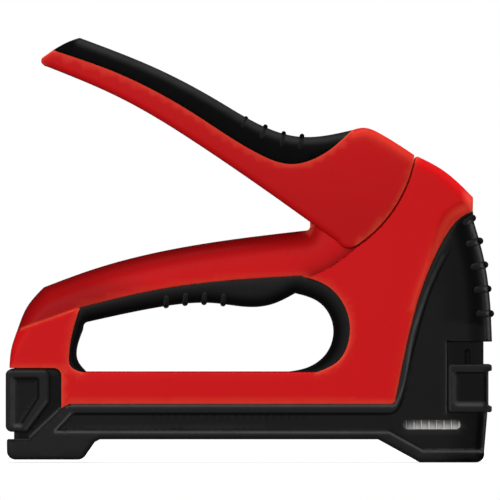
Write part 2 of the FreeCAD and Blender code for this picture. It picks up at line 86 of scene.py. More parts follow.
BODY_HALF = node_half("body_shell_right")
BASE_HALF = node_half("base_housing_right")
LINER_HALF = node_half("hand_liner")
LEVER_HALF = node_half("lever_shell")
SLIDER_HALF = node_half("wire_guide_slider")
LATCH_HALF = node_half("magazine_latch")
COIL_STEPS = 28  # rings of the mesh in each turn of a spring
POWER_WIRE_R, POWER_TURNS = 1.15, 9
PUSHER_WIRE_R, PUSHER_TURNS = 0.3, 34
FINE_GAP, EDGE_CLEARANCE = 0.16, 0.04  # closest spacing of mesh points, and their least distance to an edge
FLOOR_R = 0.55
SIDES = {"right": -1, "left": 1}


# ---- outlines --------------------------------------------------------------------------
FRONT_EDGE = [(1.7, 100.2), (-3.0, 97.6), (-9.9, 88.8), (-18.4, 69.6), (-23.8, 50.4), (-29.0, 25.4)]
HOLE_REAR = [(-154.5, 36.0), (-158.9, 38.6), (-159.4, 42.4), (-155.0, 61.6)]
HOLE_TOP = [(-155.0, 61.6), (-123.2, 68.9), (-91.2, 72.8), (-67.2, 74.3)]
HOLE_FRONT = [(-67.2, 74.3), (-56.6, 70.4), (-49.0, 61.0), (-47.6, 50.5), (-51.7, 40.8), (-60.5, 36.0)]
FRONT_FACE = [(1.7, 100.2), (2.1, 96.2), (6.4, 80.2), (8.8, 61.6), (9.4, 48.1)]
GRIP_TOP = [(-155.2, 169.4), (-123.2, 156.6), (-99.2, 143.8), (-83.2, 134.7), (-68.0, 130.0), (-46.4, 132.6)]
GRIP_END = [(-165.8, 164.4), (-160.5, 167.4), (-155.2, 169.4)]
GRIP_LOW = [
    (-46.4, 132.6), (-55.2, 124.9), (-71.2, 119.0), (-83.2, 122.8), (-107.2, 137.6), (-139.2, 154.9), (-165.8, 164.4)
]
LINER_LOW = [(-151.0, 56.2), (-123.2, 61.9), (-101.0, 63.4), (-87.2, 61.9), (-79.2, 62.8), (-69.2, 67.4)]
LINER_RIB_X = [-120.8, -113.2, -105.6, -98.0]


def spline(points, step):
    """A natural cubic curve through points, as a polyline with about that step."""
    p = np.array(points, float)
    t = np.concatenate([[0], np.cumsum(np.linalg.norm(np.diff(p, axis=0), axis=1))])
    n, h = len(p), np.diff(t)
    system, right = np.eye(n), np.zeros((n, 2))
    for i in range(1, n - 1):
        system[i, i - 1 : i + 2] = h[i - 1], 2 * (h[i - 1] + h[i]), h[i]
        right[i] = 6 * ((p[i + 1] - p[i]) / h[i] - (p[i] - p[i - 1]) / h[i - 1])
    bend = np.linalg.solve(system, right)
    s = np.linspace(0, t[-1], max(2, int(t[-1] / step)) + 1)
    k = np.clip(np.searchsorted(t, s, side="right") - 1, 0, n - 2)
    a, b, w = ((t[k + 1] - s) / h[k])[:, None], ((s - t[k]) / h[k])[:, None], h[k][:, None]
    return a * p[k] + b * p[k + 1] + ((a**3 - a) * bend[k] + (b**3 - b) * bend[k + 1]) * w * w / 6


def arc(start, middle, end, step):
    """A round arc through three points."""
    (ax, ay), (bx, by), (cx, cy) = start, middle, end
    d = 2 * (ax * (by - cy) + bx * (cy - ay) + cx * (ay - by))
    a2, b2, c2 = ax * ax + ay * ay, bx * bx + by * by, cx * cx + cy * cy
    centre = np.array([
        a2 * (by - cy) + b2 * (cy - ay) + c2 * (ay - by),
        a2 * (cx - bx) + b2 * (ax - cx) + c2 * (bx - ax),
    ]) / d
    first, through, last = (math.atan2(q[1] - centre[1], q[0] - centre[0]) for q in (start, middle, end))
    turn = (last - first) % math.tau
    if (through - first) % math.tau > turn:
        turn -= math.tau
    r = math.dist(start, centre)
    angles = np.linspace(first, first + turn, max(3, int(abs(turn) * r / step)) + 1)
    return centre + r * np.stack([np.cos(angles), np.sin(angles)], axis=1)


def straight(start, end, step):
    n = max(1, int(math.dist(start, end) / step))
    return np.linspace(start, end, n + 1)


def loop(start, *edges, step=1.0):
    """A closed loop as (rounding radius, polyline) edges. An edge is (radius, step, step, ...)."""
    here, out = start, []
    for radius, *steps in edges:
        line = [np.array([here], float)]
        for move in steps:
            if move == "close":
                part = straight(here, start, step)
            elif move[0] == "curve":
                part = spline([here] + list(move[1]), step)
            elif move[0] == "arc":
                part = arc(here, move[1], move[2], step * 0.4)
            else:
                part = straight(here, move, step)
            line.append(part[1:])
            here = tuple(part[-1])
        out.append((radius, np.concatenate(line)))
    return out


def stadium(x_low, x_high, z_low, z_high, radius, step=0.5):
    """A rounded slot as a loop, its ends half-round along its longer side."""
    r = min(x_high - x_low, z_high - z_low) / 2
    left, right, under, over = x_low + r, x_high - r, z_low + r, z_high - r
    turns = [(right, over, 0), (left, over, 1), (left, under, 2), (right, under, 3)]
    points = []
    for x, z, quarter in turns:
        for a in np.linspace(quarter, quarter + 1, 5) * math.pi / 2:
            points.append((x + r * math.cos(a), z + r * math.sin(a)))
    lines = [straight(a, b, step) for a, b in zip(points, points[1:] + points[:1]) if math.dist(a, b) > 1e-6]
    return [(radius, np.concatenate([lines[0]] + [line[1:] for line in lines[1:]]))]


def capsule(start, end, r, radius):
    """A round-ended bar between two points, as a loop."""
    a, b = np.array(start, float), np.array(end, float)
    along = math.atan2(*(b - a)[::-1])
    points = []
    for centre, first in ((b, along - math.pi / 2), (a, along + math.pi / 2)):
        for t in np.linspace(first, first + math.pi, 9):
            points.append(centre + r * np.array([math.cos(t), math.sin(t)]))
    lines = [straight(p, q, 0.5) for p, q in zip(points, points[1:] + points[:1])]
    return [(radius, np.concatenate([lines[0]] + [line[1:] for line in lines[1:]]))]


def whole(edges):
    """The closed polyline of a loop's edges, without repeated points."""
    points = np.concatenate([line for _, line in edges])
    keep = np.linalg.norm(points - np.roll(points, 1, axis=0), axis=1) > 1e-4
    return points[keep]


def closed_ring(corners, step):
    """A closed polyline through the corners, with points every step."""
    return whole([(0, straight(a, b, step)) for a, b in zip(corners, np.roll(corners, -1, axis=0))])


def distance(p, line):
    """Distance from each point to a polyline."""
    return nearest(p, line)[0]


def nearest(p, line):
    """Distance from each point to a polyline, and how far along it the nearest place is, from 0 to 1."""
    start, step = line[:-1], np.diff(line, axis=0)
    length2 = np.maximum((step**2).sum(1), 1e-12)
    best, where = np.full(len(p), 1e9), np.zeros(len(p))
    block = max(1, int(4e5 / max(len(p), 1)))
    for k in range(0, len(start), block):
        a, d = start[k : k + block], step[k : k + block]
        x, z = p[:, :1] - a[:, 0], p[:, 1:] - a[:, 1]
        t = np.clip((x * d[:, 0] + z * d[:, 1]) / length2[k : k + block], 0, 1)
        gap = (x - t * d[:, 0]) ** 2 + (z - t * d[:, 1]) ** 2
        pick = gap.argmin(1)
        least = gap[np.arange(len(p)), pick]
        better = least < best
        best = np.where(better, least, best)
        where = np.where(better, k + pick + t[np.arange(len(p)), pick], where)
    return np.sqrt(best), where / len(start)


def edge_fall(p, line, radius):
    """How far the rounding of one edge lies under the face; a pair of radii blends along the edge."""
    d, along = nearest(p, line)
    return drop(d, radius if np.isscalar(radius) else radius[0] + (radius[1] - radius[0]) * along)


def inside(p, ring):
    """Which points lie in a closed polyline."""
    hit = np.zeros(len(p), bool)
    for (ax, az), (bx, bz) in zip(ring, np.roll(ring, -1, axis=0)):
        if az != bz:
            crosses = (az > p[:, 1]) != (bz > p[:, 1])
            hit ^= crosses & (p[:, 0] < (bx - ax) * (p[:, 1] - az) / (bz - az) + ax)
    return hit


def signed(p, ring):
    """Distance to a closed polyline, positive inside it."""
    closed = np.concatenate([ring, ring[:1]])
    return distance(p, closed) * np.where(inside(p, ring), 1, -1)


def drop(d, r):
    """How far a quarter-round edge of radius r lies under the face, d in from the edge."""
    d = np.clip(d, 0, r)
    return r - np.sqrt(np.maximum(r * r - (r - d) ** 2, 0))


def ease(t):
    t = np.clip(t, 0, 1)
    return t * t * (3 - 2 * t)


# ---- relief meshes -------------------------------------------------------------------------
def offset_points(line, distances):
    """Points at these distances, single or one per point, on both sides of a polyline."""
    step = np.gradient(line, axis=0)
    normal = np.stack([-step[:, 1], step[:, 0]], axis=1)
    normal /= np.maximum(np.linalg.norm(normal, axis=1), 1e-9)[:, None]
    return np.concatenate([line + normal * np.reshape(d, (-1, 1)) * s for d in distances for s in (1, -1)])


def spread(groups, gap):
    """Points from the groups, thinned so that few lie closer together than gap."""
    points = np.concatenate(groups)
    for shift in (0.0, 0.5):
        _, first = np.unique(np.floor(points / gap + shift).astype(int), axis=0, return_index=True)
        points = points[np.sort(first)]
    return points


def triangulate(loops, seeds, cavities, grid):
    """Triangles over the loops' area, with points that follow every rounding and every seed line."""
    rings = [whole(edges) for edges in loops]
    edges = [edge for group in loops for edge in group]
    border = np.concatenate(rings)
    inner = []
    for radius, line in edges:
        widest = np.max(radius)
        n = 3 if widest < 1 else 5 if widest < 3 else 8
        radii = np.linspace(*np.broadcast_to(radius, 2), len(line))
        for k in range(1, n + 1):
            d = radii * (1 - math.cos(k * math.pi / 2 / n))
            points = offset_points(line, [d])
            clear = np.min([distance(points, other) for _, other in edges], axis=0)
            inner.append(points[clear > np.tile(d, 2) - 0.02])
    for line, depths in seeds:
        inner.append(np.concatenate([line, offset_points(line, depths)]))
    low, high = border.min(0), border.max(0)
    xs, zs = np.arange(low[0], high[0], grid), np.arange(low[1], high[1], grid * 0.87)
    coarse = np.array([(x + (k % 2) * grid / 2, z) for k, z in enumerate(zs) for x in xs])
    fine = spread(inner, FINE_GAP) if inner else np.empty((0, 2))
    near = np.min([distance(coarse, line) for _, line in edges], axis=0)
    points = np.concatenate([fine, coarse[near > grid * 0.45]])
    area = np.sum([inside(points, ring) for ring in rings], axis=0) % 2 == 1
    near = np.min([distance(points, line) for _, line in edges], axis=0)
    points = points[area & (near > EDGE_CLEARANCE)]
    vertices = [Vector(p) for p in border]
    constraints, start = [], 0
    for ring in rings:
        n = len(ring)
        constraints += [(start + k, start + (k + 1) % n) for k in range(n)]
        start += n
    cavities = [closed_ring(ring, 1.2) for ring in cavities]
    for ring in cavities:
        n = len(ring)
        constraints += [(len(vertices) + k, len(vertices) + (k + 1) % n) for k in range(n)]
        vertices += [Vector(p) for p in ring]
    vertices += [Vector(p) for p in points]
    out, _, faces, *_ = delaunay_2d_cdt(vertices, constraints, [], 0, 1e-4)
    out = np.array([(v.x, v.y) for v in out])
    faces = np.array([f for f in faces if len(f) == 3])
    middle = out[faces].mean(1)
    faces = faces[np.sum([inside(middle, ring) for ring in rings], axis=0) % 2 == 1]
    hollow = np.zeros(len(faces), bool)
    middle = out[faces].mean(1)
    for ring in cavities:
        hollow |= inside(middle, ring)
    return out, faces, hollow, edges


def relief(
    name, loops, height, seeds=(), cavities=(), hollow_half=0.0, sides=(-1, 1), grid=3.0, gap=0.06, lip=0.35,
    rim=1.0, highlit=(), shade=None,
):
    """A closed moulded piece: both faces follow height, edges are rounded, and cavities are open inside.

    height(points, side) gives the half width before the edges are rounded. One side alone makes
    half a casing, whose edge at the parting plane is eased by lip. The mask "rim" marks crisp edges by
    the strength rim and each rubbed (line, width, strength); the mask "shade" marks where grime settles.
    """
    seeds = [*seeds, *[(line, [0.5 * width, width, 1.6 * width]) for line, width, _ in highlit]]
    flat, faces, hollow, edges = triangulate(loops, seeds, cavities, grid)
    # Painted highlight on crisp edges and along the highlight lines, and painted shade from shade(), kept as masks for
    # the material.
    crisp = [distance(flat, line) for radius, line in edges if np.max(radius) <= 1.2]
    edge_highlight = rim * np.exp(-np.min(crisp, axis=0) / 0.6) if crisp else np.zeros(len(flat))
    for line, width, strength in highlit:
        edge_highlight = np.maximum(edge_highlight, strength * np.exp(-((distance(flat, line) / width) ** 2)))
    painted_shade = shade(flat) if shade else np.zeros(len(flat))
    falls = np.max([edge_fall(flat, line, radius) for radius, line in edges], axis=0)
    vertices, polygons, masks = [], [], []

    def layer(used, y, points=None):
        """Adds one layer of vertices and returns their numbers."""
        index = np.full(len(flat), -1)
        index[used] = np.arange(len(used)) + sum(len(v) for v in vertices)
        p = flat if points is None else points
        vertices.append(np.stack([p[used, 0], np.broadcast_to(y, len(used)), p[used, 1]], axis=1))
        masks.append(np.stack([edge_highlight[used], painted_shade[used]], axis=1))
        return index

    directed = np.concatenate([faces[:, [0, 1]], faces[:, [1, 2]], faces[:, [2, 0]]])
    owner = np.tile(np.arange(len(faces)), 3)
    pairs = {(a, b): f for (a, b), f in zip(directed.tolist(), owner.tolist())}
    border = [(a, b, f) for (a, b), f in pairs.items() if (b, a) not in pairs]
    steps = [
        (a, b, f) for (a, b), f in pairs.items() if not hollow[f] and (b, a) in pairs and hollow[pairs[b, a]]
    ]
    used = np.unique(faces)
    solid_used = np.unique(faces[~hollow]) if (~hollow).any() else np.array([], int)
    hollow_used = np.unique(faces[hollow]) if hollow.any() else np.array([], int)
    one_sided = len(sides) == 1
    inward = np.zeros_like(flat)
    for a, b, _ in border:
        d = flat[b] - flat[a]
        n = np.array([-d[1], d[0]]) / max(np.linalg.norm(d), 1e-9)
        inward[a] += n
        inward[b] += n
    inward /= np.maximum(np.linalg.norm(inward, axis=1), 1e-9)[:, None]
    mid = None if one_sided else layer(solid_used, 0.0)
    for side in sides:
        h = np.maximum(height(flat, side) - falls, lip + 0.1)
        h[hollow_used] = np.maximum(h[hollow_used], hollow_half + 0.3) if len(hollow_used) else h[hollow_used]
        outer = layer(used, side * h[used])
        bore = layer(hollow_used, side * hollow_half) if len(hollow_used) else None
        if one_sided:
            parting = layer(np.unique([v for e in border for v in e[:2]]), side * lip)
            mid = layer(solid_used, side * gap, flat + inward * lip * 0.6)
        turn = [0, 1, 2] if side < 0 else [2, 1, 0]
        polygons += outer[faces][:, turn].tolist()
        if len(hollow_used):
            polygons += bore[faces[hollow]][:, turn[::-1]].tolist()
        if one_sided:
            polygons += mid[faces[~hollow]][:, turn[::-1]].tolist()
        for a, b, f in border:
            chain = [outer, bore] if hollow[f] else [outer, parting, mid] if one_sided else [outer, mid]
            for upper, lower in zip(chain, chain[1:]):
                quad = [upper[b], upper[a], lower[a], lower[b]]
                polygons.append(quad if side < 0 else quad[::-1])
        for a, b, _ in steps:
            quad = [bore[b], bore[a], mid[a], mid[b]]
            polygons.append(quad if side < 0 else quad[::-1])
    mesh = bpy.data.meshes.new(name)
    mesh.from_pydata(np.concatenate(vertices) * MM, [], [[int(i) for i in f] for f in polygons])
    for mask_name, values in zip(("rim", "shade"), np.concatenate(masks).T):
        mask = mesh.attributes.new(mask_name, "FLOAT", "POINT")
        mask.data.foreach_set("value", np.ascontiguousarray(values, np.float32))
    return finish_mesh(name, mesh)


def finish_mesh(name, mesh, crease_deg=38):
    """Cleans the mesh, turns its faces outwards, shades it smooth with sharp creases and links it."""
    work = bmesh.new()
    work.from_mesh(mesh)
    bmesh.ops.delete(work, geom=[v for v in work.verts if not v.link_faces], context="VERTS")
    bmesh.ops.recalc_face_normals(work, faces=work.faces)
    limit = math.radians(crease_deg)
    for face in work.faces:
        face.smooth = True
    for edge in work.edges:
        edge.smooth = len(edge.link_faces) == 2 and edge.calc_face_angle(0) < limit
    work.to_mesh(mesh)
    work.free()
    piece = bpy.data.objects.new(name, mesh)
    bpy.context.scene.collection.objects.link(piece)
    return piece


def join(pieces, name):
    """One object from several."""
    bpy.ops.object.select_all(action="DESELECT")
    for piece in pieces:
        piece.select_set(True)
    bpy.context.view_layer.objects.active = pieces[0]
    bpy.ops.object.join()
    pieces[0].name = name
    return pieces[0]


def place_piece(piece, body, material, slot, *nodes):
    """Gives a finished piece its material, its body and the CAD nodes that it stands for."""
    piece.data.materials.clear()
    piece.data.materials.append(material)
    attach(piece, body)
    if nodes:
        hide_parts(*nodes)
    return piece


def box_ring(x_low, x_high, z_low, z_high):
    return np.array([(x_low, z_low), (x_high, z_low), (x_high, z_high), (x_low, z_high)], float)


# ---- shader groups --------------------------------------------------------------------------
def new_group(name, inputs, outputs):
    """A shader node group with named sockets, and its input and output nodes."""
    tree = bpy.data.node_groups.new(name, "ShaderNodeTree")
    for socket, kind, value in inputs:
        made = tree.interface.new_socket(socket, in_out="INPUT", socket_type=kind)
        made.default_value = value
    for socket, kind in outputs:
        tree.interface.new_socket(socket, in_out="OUTPUT", socket_type=kind)
    return tree, tree.nodes.new("NodeGroupInput"), tree.nodes.new("NodeGroupOutput")


def add_node(tree, kind, links=(), **values):
    """A node with its properties set and its inputs linked or set."""
    node = tree.nodes.new(kind)
    for key, value in values.items():
        setattr(node, key, value)
    for socket, source in dict(links).items():
        if isinstance(source, bpy.types.NodeSocket):
            tree.links.new(source, node.inputs[socket])
        else:
            node.inputs[socket].default_value = source
    return node


def calc(tree, operation, *values):
    """The result of a Math node."""
    return add_node(tree, "ShaderNodeMath", dict(enumerate(values)), operation=operation).outputs[0]


def noise(tree, place, scale, detail, roughness=0.5):
    """The value of a noise texture."""
    links = {"Vector": place, "Scale": scale, "Detail": detail, "Roughness": roughness}
    return add_node(tree, "ShaderNodeTexNoise", links).outputs["Fac"]


def remap(tree, value, low, high, to_low, to_high, **settings):
    """A value moved from one range to another, and held within it."""
    links = {"Value": value, "From Min": low, "From Max": high, "To Min": to_low, "To Max": to_high}
    return add_node(tree, "ShaderNodeMapRange", links, **settings).outputs[0]


def blend(tree, amount, first, second):
    """The mix of two colours."""
    links = {"Factor": amount, "A": first, "B": second}
    return add_node(tree, "ShaderNodeMix", links, data_type="RGBA").outputs["Result"]


def scaled(tree, colour, amount):
    """A colour made darker or lighter."""
    links = {0: colour, "Scale": amount}
    return add_node(tree, "ShaderNodeVectorMath", links, operation="SCALE").outputs[0]


def moulded_surface():
    """Fine spark-eroded grain, flow marks and a lighter line where an edge catches handling."""
    group = bpy.data.node_groups.get("Moulded surface")
    if group:
        return group
    colour = "NodeSocketColor"
    value = "NodeSocketFloat"
    inputs = [
        ("Colour", colour, (0.5, 0.5, 0.5, 1)),
        ("Edge colour", colour, (0.6, 0.6, 0.6, 1)),
        ("Edge amount", value, 0.3),
        ("Grain per metre", value, 2500.0),
        ("Roughness", value, 0.4),
        ("Roughness spread", value, 0.08),
        ("Shade spread", value, 0.06),
    ]
    outputs = [("Colour", colour), ("Roughness", value), ("Height", value)]
    group, given, out = new_group("Moulded surface", inputs, outputs)
    given = given.outputs
    spot = add_node(group, "ShaderNodeTexCoord").outputs["Object"]
    grain = noise(group, spot, given["Grain per metre"], 2.0)
    flow = noise(group, spot, 38.0, 4.0, 0.6)
    smudge = noise(group, spot, 130.0, 5.0, 0.65)
    streak = calc(group, "MULTIPLY_ADD", calc(group, "SUBTRACT", flow, 0.5), given["Shade spread"], 1.0)
    tinted = scaled(group, given["Colour"], streak)
    # The rim mask mixes in the edge colour as a painted highlight; the shade mask darkens the colour as painted shade.
    rim = add_node(group, "ShaderNodeAttribute", attribute_name="rim").outputs["Fac"]
    painted_shade = add_node(group, "ShaderNodeAttribute", attribute_name="shade").outputs["Fac"]
    shaded = scaled(group, tinted, calc(group, "SUBTRACT", 1.0, painted_shade))
    edge = calc(group, "MULTIPLY", rim, remap(group, smudge, 0.3, 0.7, 0.6, 1.0))
    edge = calc(group, "MULTIPLY", edge, given["Edge amount"])
    rough = calc(
        group, "MULTIPLY_ADD", calc(group, "SUBTRACT", smudge, 0.5), given["Roughness spread"], given["Roughness"]
    )
    group.links.new(blend(group, edge, shaded, given["Edge colour"]), out.inputs["Colour"])
    group.links.new(rough, out.inputs["Roughness"])
    group.links.new(grain, out.inputs["Height"])
    return group


def rolled_metal():
    """Fine lengthwise rolling lines with patches of oil."""
    group = bpy.data.node_groups.get("Rolled metal")
    if group:
        return group
    inputs = [
        ("Colour", "NodeSocketColor", (0.5, 0.5, 0.5, 1)),
        ("Dark colour", "NodeSocketColor", (0.1, 0.1, 0.1, 1)),
        ("Roughness", "NodeSocketFloat", 0.3),
        ("Stretch", "NodeSocketVector", (60.0, 1500.0, 900.0)),
    ]
    outputs = [("Colour", "NodeSocketColor"), ("Roughness", "NodeSocketFloat"), ("Height", "NodeSocketFloat")]
    group, given, out = new_group("Rolled metal", inputs, outputs)
    given = given.outputs
    spot = add_node(group, "ShaderNodeTexCoord").outputs["Object"]
    stretched = add_node(group, "ShaderNodeVectorMath", {0: spot, 1: given["Stretch"]}, operation="MULTIPLY")
    lines = noise(group, stretched.outputs[0], 1.0, 3.0)
    oily = remap(group, noise(group, spot, 90.0, 4.0), 0.45, 0.7, 0.0, 0.6)
    rough = calc(group, "MULTIPLY_ADD", calc(group, "SUBTRACT", lines, 0.5), 0.3, given["Roughness"])
    group.links.new(blend(group, oily, given["Colour"], given["Dark colour"]), out.inputs["Colour"])
    group.links.new(rough, out.inputs["Roughness"])
    group.links.new(lines, out.inputs["Height"])
    return group


def finish_material(name, group, settings, metallic=0.0, specular=0.5, bump=0.1, bump_mm=0.05):
    """A Principled material whose colour, roughness and bump come from a group."""
    found = bpy.data.materials.get(name)
    if found:
        return found
    material = bpy.data.materials.new(name)
    material.use_nodes = True
    tree = material.node_tree
    shader = tree.nodes["Principled BSDF"]
    shader.inputs["Metallic"].default_value = metallic
    shader.inputs["Specular IOR Level"].default_value = specular
    effect = add_node(tree, "ShaderNodeGroup", node_tree=group)
    for socket, value in settings.items():
        effect.inputs[socket].default_value = value
    links = {"Strength": bump, "Distance": bump_mm * MM, "Height": effect.outputs["Height"]}
    height = add_node(tree, "ShaderNodeBump", links)
    tree.links.new(effect.outputs["Colour"], shader.inputs["Base Color"])
    tree.links.new(effect.outputs["Roughness"], shader.inputs["Roughness"])
    tree.links.new(height.outputs["Normal"], shader.inputs["Normal"])
    return material


def opaque(colour):
    return (colour[0], colour[1], colour[2], 1.0)


def red_plastic():
    finish = bpy.context.scene.staple_gun_finish
    # The edge colour is a painted highlight along the red edges.
    settings = {
        "Colour": opaque(finish.red), "Edge colour": opaque(finish.red_edge), "Edge amount": 1.0, "Roughness": 0.4,
    }
    return finish_material("Red plastic", moulded_surface(), settings, specular=0.03, bump=0.08)


def black_plastic():
    finish = bpy.context.scene.staple_gun_finish
    # The edge colour is a painted highlight along the black edges.
    settings = {
        "Colour": opaque(finish.black), "Edge colour": opaque(finish.black_edge), "Edge amount": 1.0,
        "Roughness": 0.38, "Grain per metre": 1900.0, "Shade spread": 0.2,
    }
    return finish_material("Black plastic", moulded_surface(), settings, specular=0.04, bump=0.16)


def soft_rubber(name="Soft rubber", lift=1.0):
    """Matt black rubber; lift makes it paler."""
    finish = bpy.context.scene.staple_gun_finish
    # The edge colour is a painted highlight along the rubber's edges.
    settings = {
        "Colour": opaque([lift * c for c in finish.rubber]),
        "Edge colour": opaque(finish.black_edge), "Edge amount": 1.0,
        "Roughness": 0.56, "Grain per metre": 1400.0, "Shade spread": 0.25, "Roughness spread": 0.15,
    }
    return finish_material(name, moulded_surface(), settings, specular=0.025, bump=0.25)


def insulation():
    # The pale edge colour is a painted highlight along the staple caps' edges.
    grey, highlight_tint = (0.6, 0.575, 0.56, 1), (0.9, 0.9, 0.9, 1)
    settings = {"Colour": grey, "Edge colour": highlight_tint, "Edge amount": 0.3, "Roughness": 0.4}
    return finish_material("Staple insulation", moulded_surface(), settings, bump=0.05)


def bright_wire():
    # The pale edge colour is a painted highlight along the wires' edges.
    silver, highlight_tint = (0.9, 0.88, 0.86, 1), (0.95, 0.95, 0.95, 1)
    settings = {"Colour": silver, "Edge colour": highlight_tint, "Edge amount": 0.2, "Roughness": 0.4}
    return finish_material("Bright wire", moulded_surface(), settings, metallic=0.1, bump=0.02)


def steel(name="Steel", colour=(0.55, 0.56, 0.57, 1), rough=0.3):
    oiled = opaque([0.45 * c for c in colour[:3]])
    settings = {"Colour": colour, "Dark colour": oiled, "Roughness": rough}
    return finish_material(name, rolled_metal(), settings, metallic=1.0, bump=0.06, bump_mm=0.03)


# ---- red body -------------------------------------------------------------------------------
def hole_loop(radius=1.0, sill=1.6):
    return loop(
        HOLE_REAR[0],
        (radius, ("curve", HOLE_REAR[1:])),
        (radius, ("curve", HOLE_TOP[1:])),
        (radius, ("curve", HOLE_FRONT[1:])),
        (sill, "close"),
    )


def body_loop():
    return loop(
        (-159.2, 23.2),
        (0.7, (-162.5, 21.6), (-162.5, 34.6), ("arc", (-163.4, 36.7), (-165.5, 37.6)), (-183.2, 37.6)),
        ((1.6, 9.5), ("curve", [(-182.5, 45.2), (-180.2, 52.6), (-176.6, 61.5), (-169.7, 69.8)])),
        (9.5, ("curve", [(-151.2, 76.6), (-107.2, 87.0), (-65.0, 92.5)])),
        (
            0.4, ("arc", (-63.7, 93.0), (-63.2, 94.3)), (-63.2, 111.5),
            ("curve", [(-57.0, 121.5), (-45.0, 123.5), (-30.0, 117.5)]),
        ),
        (0.4, (-23.6, 116.6), (-21.4, 121.2)),
        (1.0, ("arc", (-20.9, 121.9), (-20.0, 121.9))),
        (5.0, ("curve", [(-11.2, 117.2), (1.8, 105.7)])),
        (3.0, FRONT_EDGE[0]),
        (0.5, ("curve", FRONT_EDGE[1:])),
        (0.6, ("arc", (-29.6, 23.9), (-31.0, 23.2)), "close"),
    )


def thick_ring():
    """Where the body is at its full width, drawn past the body on the free sides."""
    crease = straight((-190.0, 49.1), (-155.8, 61.3), 1.0)
    under = spline([(-63.4, 74.1), (-55.2, 78.0), (-44.2, 86.4)], 1.0)
    seam = arc((-44.2, 86.4), (-29.3, 101.5), (-21.4, 121.2), 1.0)
    rest = np.array([(-21.0, 135.0), (20.0, 135.0), (20.0, 10.0), (-200.0, 10.0), (-200.0, 49.1)])
    return np.concatenate([crease, under, seam[1:], rest]), [crease, under, seam]


def column_ring():
    """The space inside the body and base for the striker and its spring."""
    return np.array([
        (-44.4, 40.5), (-44.4, 62.0), (-50.5, 73.0), (-60.7, 84.0), (-60.7, 93.5), (-68.0, 93.5), (-68.0, 126.0),
        (-28.0, 126.0), (-22.6, 118.9), (-15.4, 116.2), (-4.6, 107.0), (-1.4, 103.2), (-0.8, 97.0), (2.0, 80.0),
        (4.4, 58.0), (4.7, 48.0), (4.7, 22.4), (-25.0, 22.4), (-25.0, 26.0), (-44.4, 26.0),
    ])


BODY_SCREWS = [(-171.5, 48.0), (-41.0, 59.0), (-36.0, 30.0), (-7.0, 103.6), (-120.0, 29.8)]
BAR_SCREWS = [(-112.0, 78.6)]
BASE_SCREWS = [(-11.0, 5.0), (-167.0, 5.2)]
SCREW_HEAD_R = 3.1


def sink_screws(h, p, side, places, floor):
    """Counterbores for the screw heads, on the left side only."""
    if side < 0:
        return h
    for place in places:
        d = np.linalg.norm(p - np.array(place), axis=1)
        h = np.where(d < SCREW_HEAD_R + 0.5, np.minimum(h, floor + np.clip(d - SCREW_HEAD_R, 0, 0.5) * 20), h)
    return h


def screw_seeds(places):
    out = []
    for x, z in places:
        a = np.linspace(0, math.tau, 33)
        circle = np.stack([x + SCREW_HEAD_R * np.cos(a), z + SCREW_HEAD_R * np.sin(a)], axis=1)
        out.append((circle, [0.25, 0.5]))
    return out


def make_body():
    ring, lines = thick_ring()
    slim = bpy.context.scene.staple_gun_shells.slim_half / MM
    front = spline([(3.2, 108.0)] + FRONT_EDGE, 1.0)

    def height(p, side):
        depth = signed(p, ring)
        soft = np.where(p[:, 0] < -100.0, 1.2, 0.3)
        h = slim + (BODY_HALF - slim) * np.sin(np.clip(depth / soft, 0, 1) * math.pi / 2)
        wide = 1.2 + 4.8 * ease((p[:, 1] - 72) / 32)
        h = h - 0.45 * np.clip(wide - distance(p, front), 0, None)
        h = sink_screws(h, p, side, BODY_SCREWS, BODY_HALF - 4.1)
        return sink_screws(h, p, side, BAR_SCREWS, slim - 4.1)

    seeds = [(line, [0.15, 0.3, 0.6, 1.2]) for line in lines] + screw_seeds(BODY_SCREWS + BAR_SCREWS)
    facet = front[front[:, 1] > 60]
    wide = 1.2 + 4.8 * ease((facet[:, 1] - 72) / 32)
    normal = np.gradient(facet, axis=0)[:, ::-1] * (1, -1)  # to the red side of the edge
    normal /= np.linalg.norm(normal, axis=1)[:, None]
    seeds.append((facet + normal * wide[:, None], [0.3, 0.8]))
    seeds.append((facet - normal * wide[:, None], [0.3, 0.8]))
    # The bar's top edge, along which a dark band is painted as shade.
    bar_top = spline([(-183.0, 37.6), (-182.5, 45.2), (-180.2, 52.6), (-176.6, 61.5), (-169.7, 69.8)], 1.0)
    ridge = spline([(-169.7, 69.8), (-151.2, 76.6), (-107.2, 87.0), (-65.0, 92.5)], 1.0)
    bar_top = np.concatenate([bar_top, ridge[1:]])
    crease, under, _ = lines

    # Painted shade: a dark band along the bar's rounded top, darker slopes at the rear, and a painted shadow under the
    # lever's lobe.
    def shade(p):
        slopes = ~inside(p, ring)
        top = 0.55 * (1 - ease(distance(p, bar_top) / 11)) * slopes
        rear = 0.42 * ease((-120 - p[:, 0]) / 35) * slopes
        lobe = 0.6 * np.exp(-distance(p, under) / 2.5) * slopes
        return np.max([top, rear, lobe], axis=0)

    # Painted highlights: a line along the rear crease, one along the red edge by the front black, and a lighter band
    # across the front facet; the crisp edges get the painted edge highlight too.
    highlit = [(crease[crease[:, 0] > -179.5], 0.5, 0.7), (front, 0.9, 0.8)]
    highlit.append((facet + normal * (wide * 0.5)[:, None], 1.8, 0.45))
    made = []
    for name, side in SIDES.items():
        piece = relief(
            "red_body_" + name, [body_loop(), hole_loop()], height, seeds, [column_ring()], slim - 2.5, (side,),
            highlit=highlit, shade=shade,
        )
        made.append(place_piece(piece, "housing", red_plastic(), "red_shell", "body_shell_" + name))
    return made


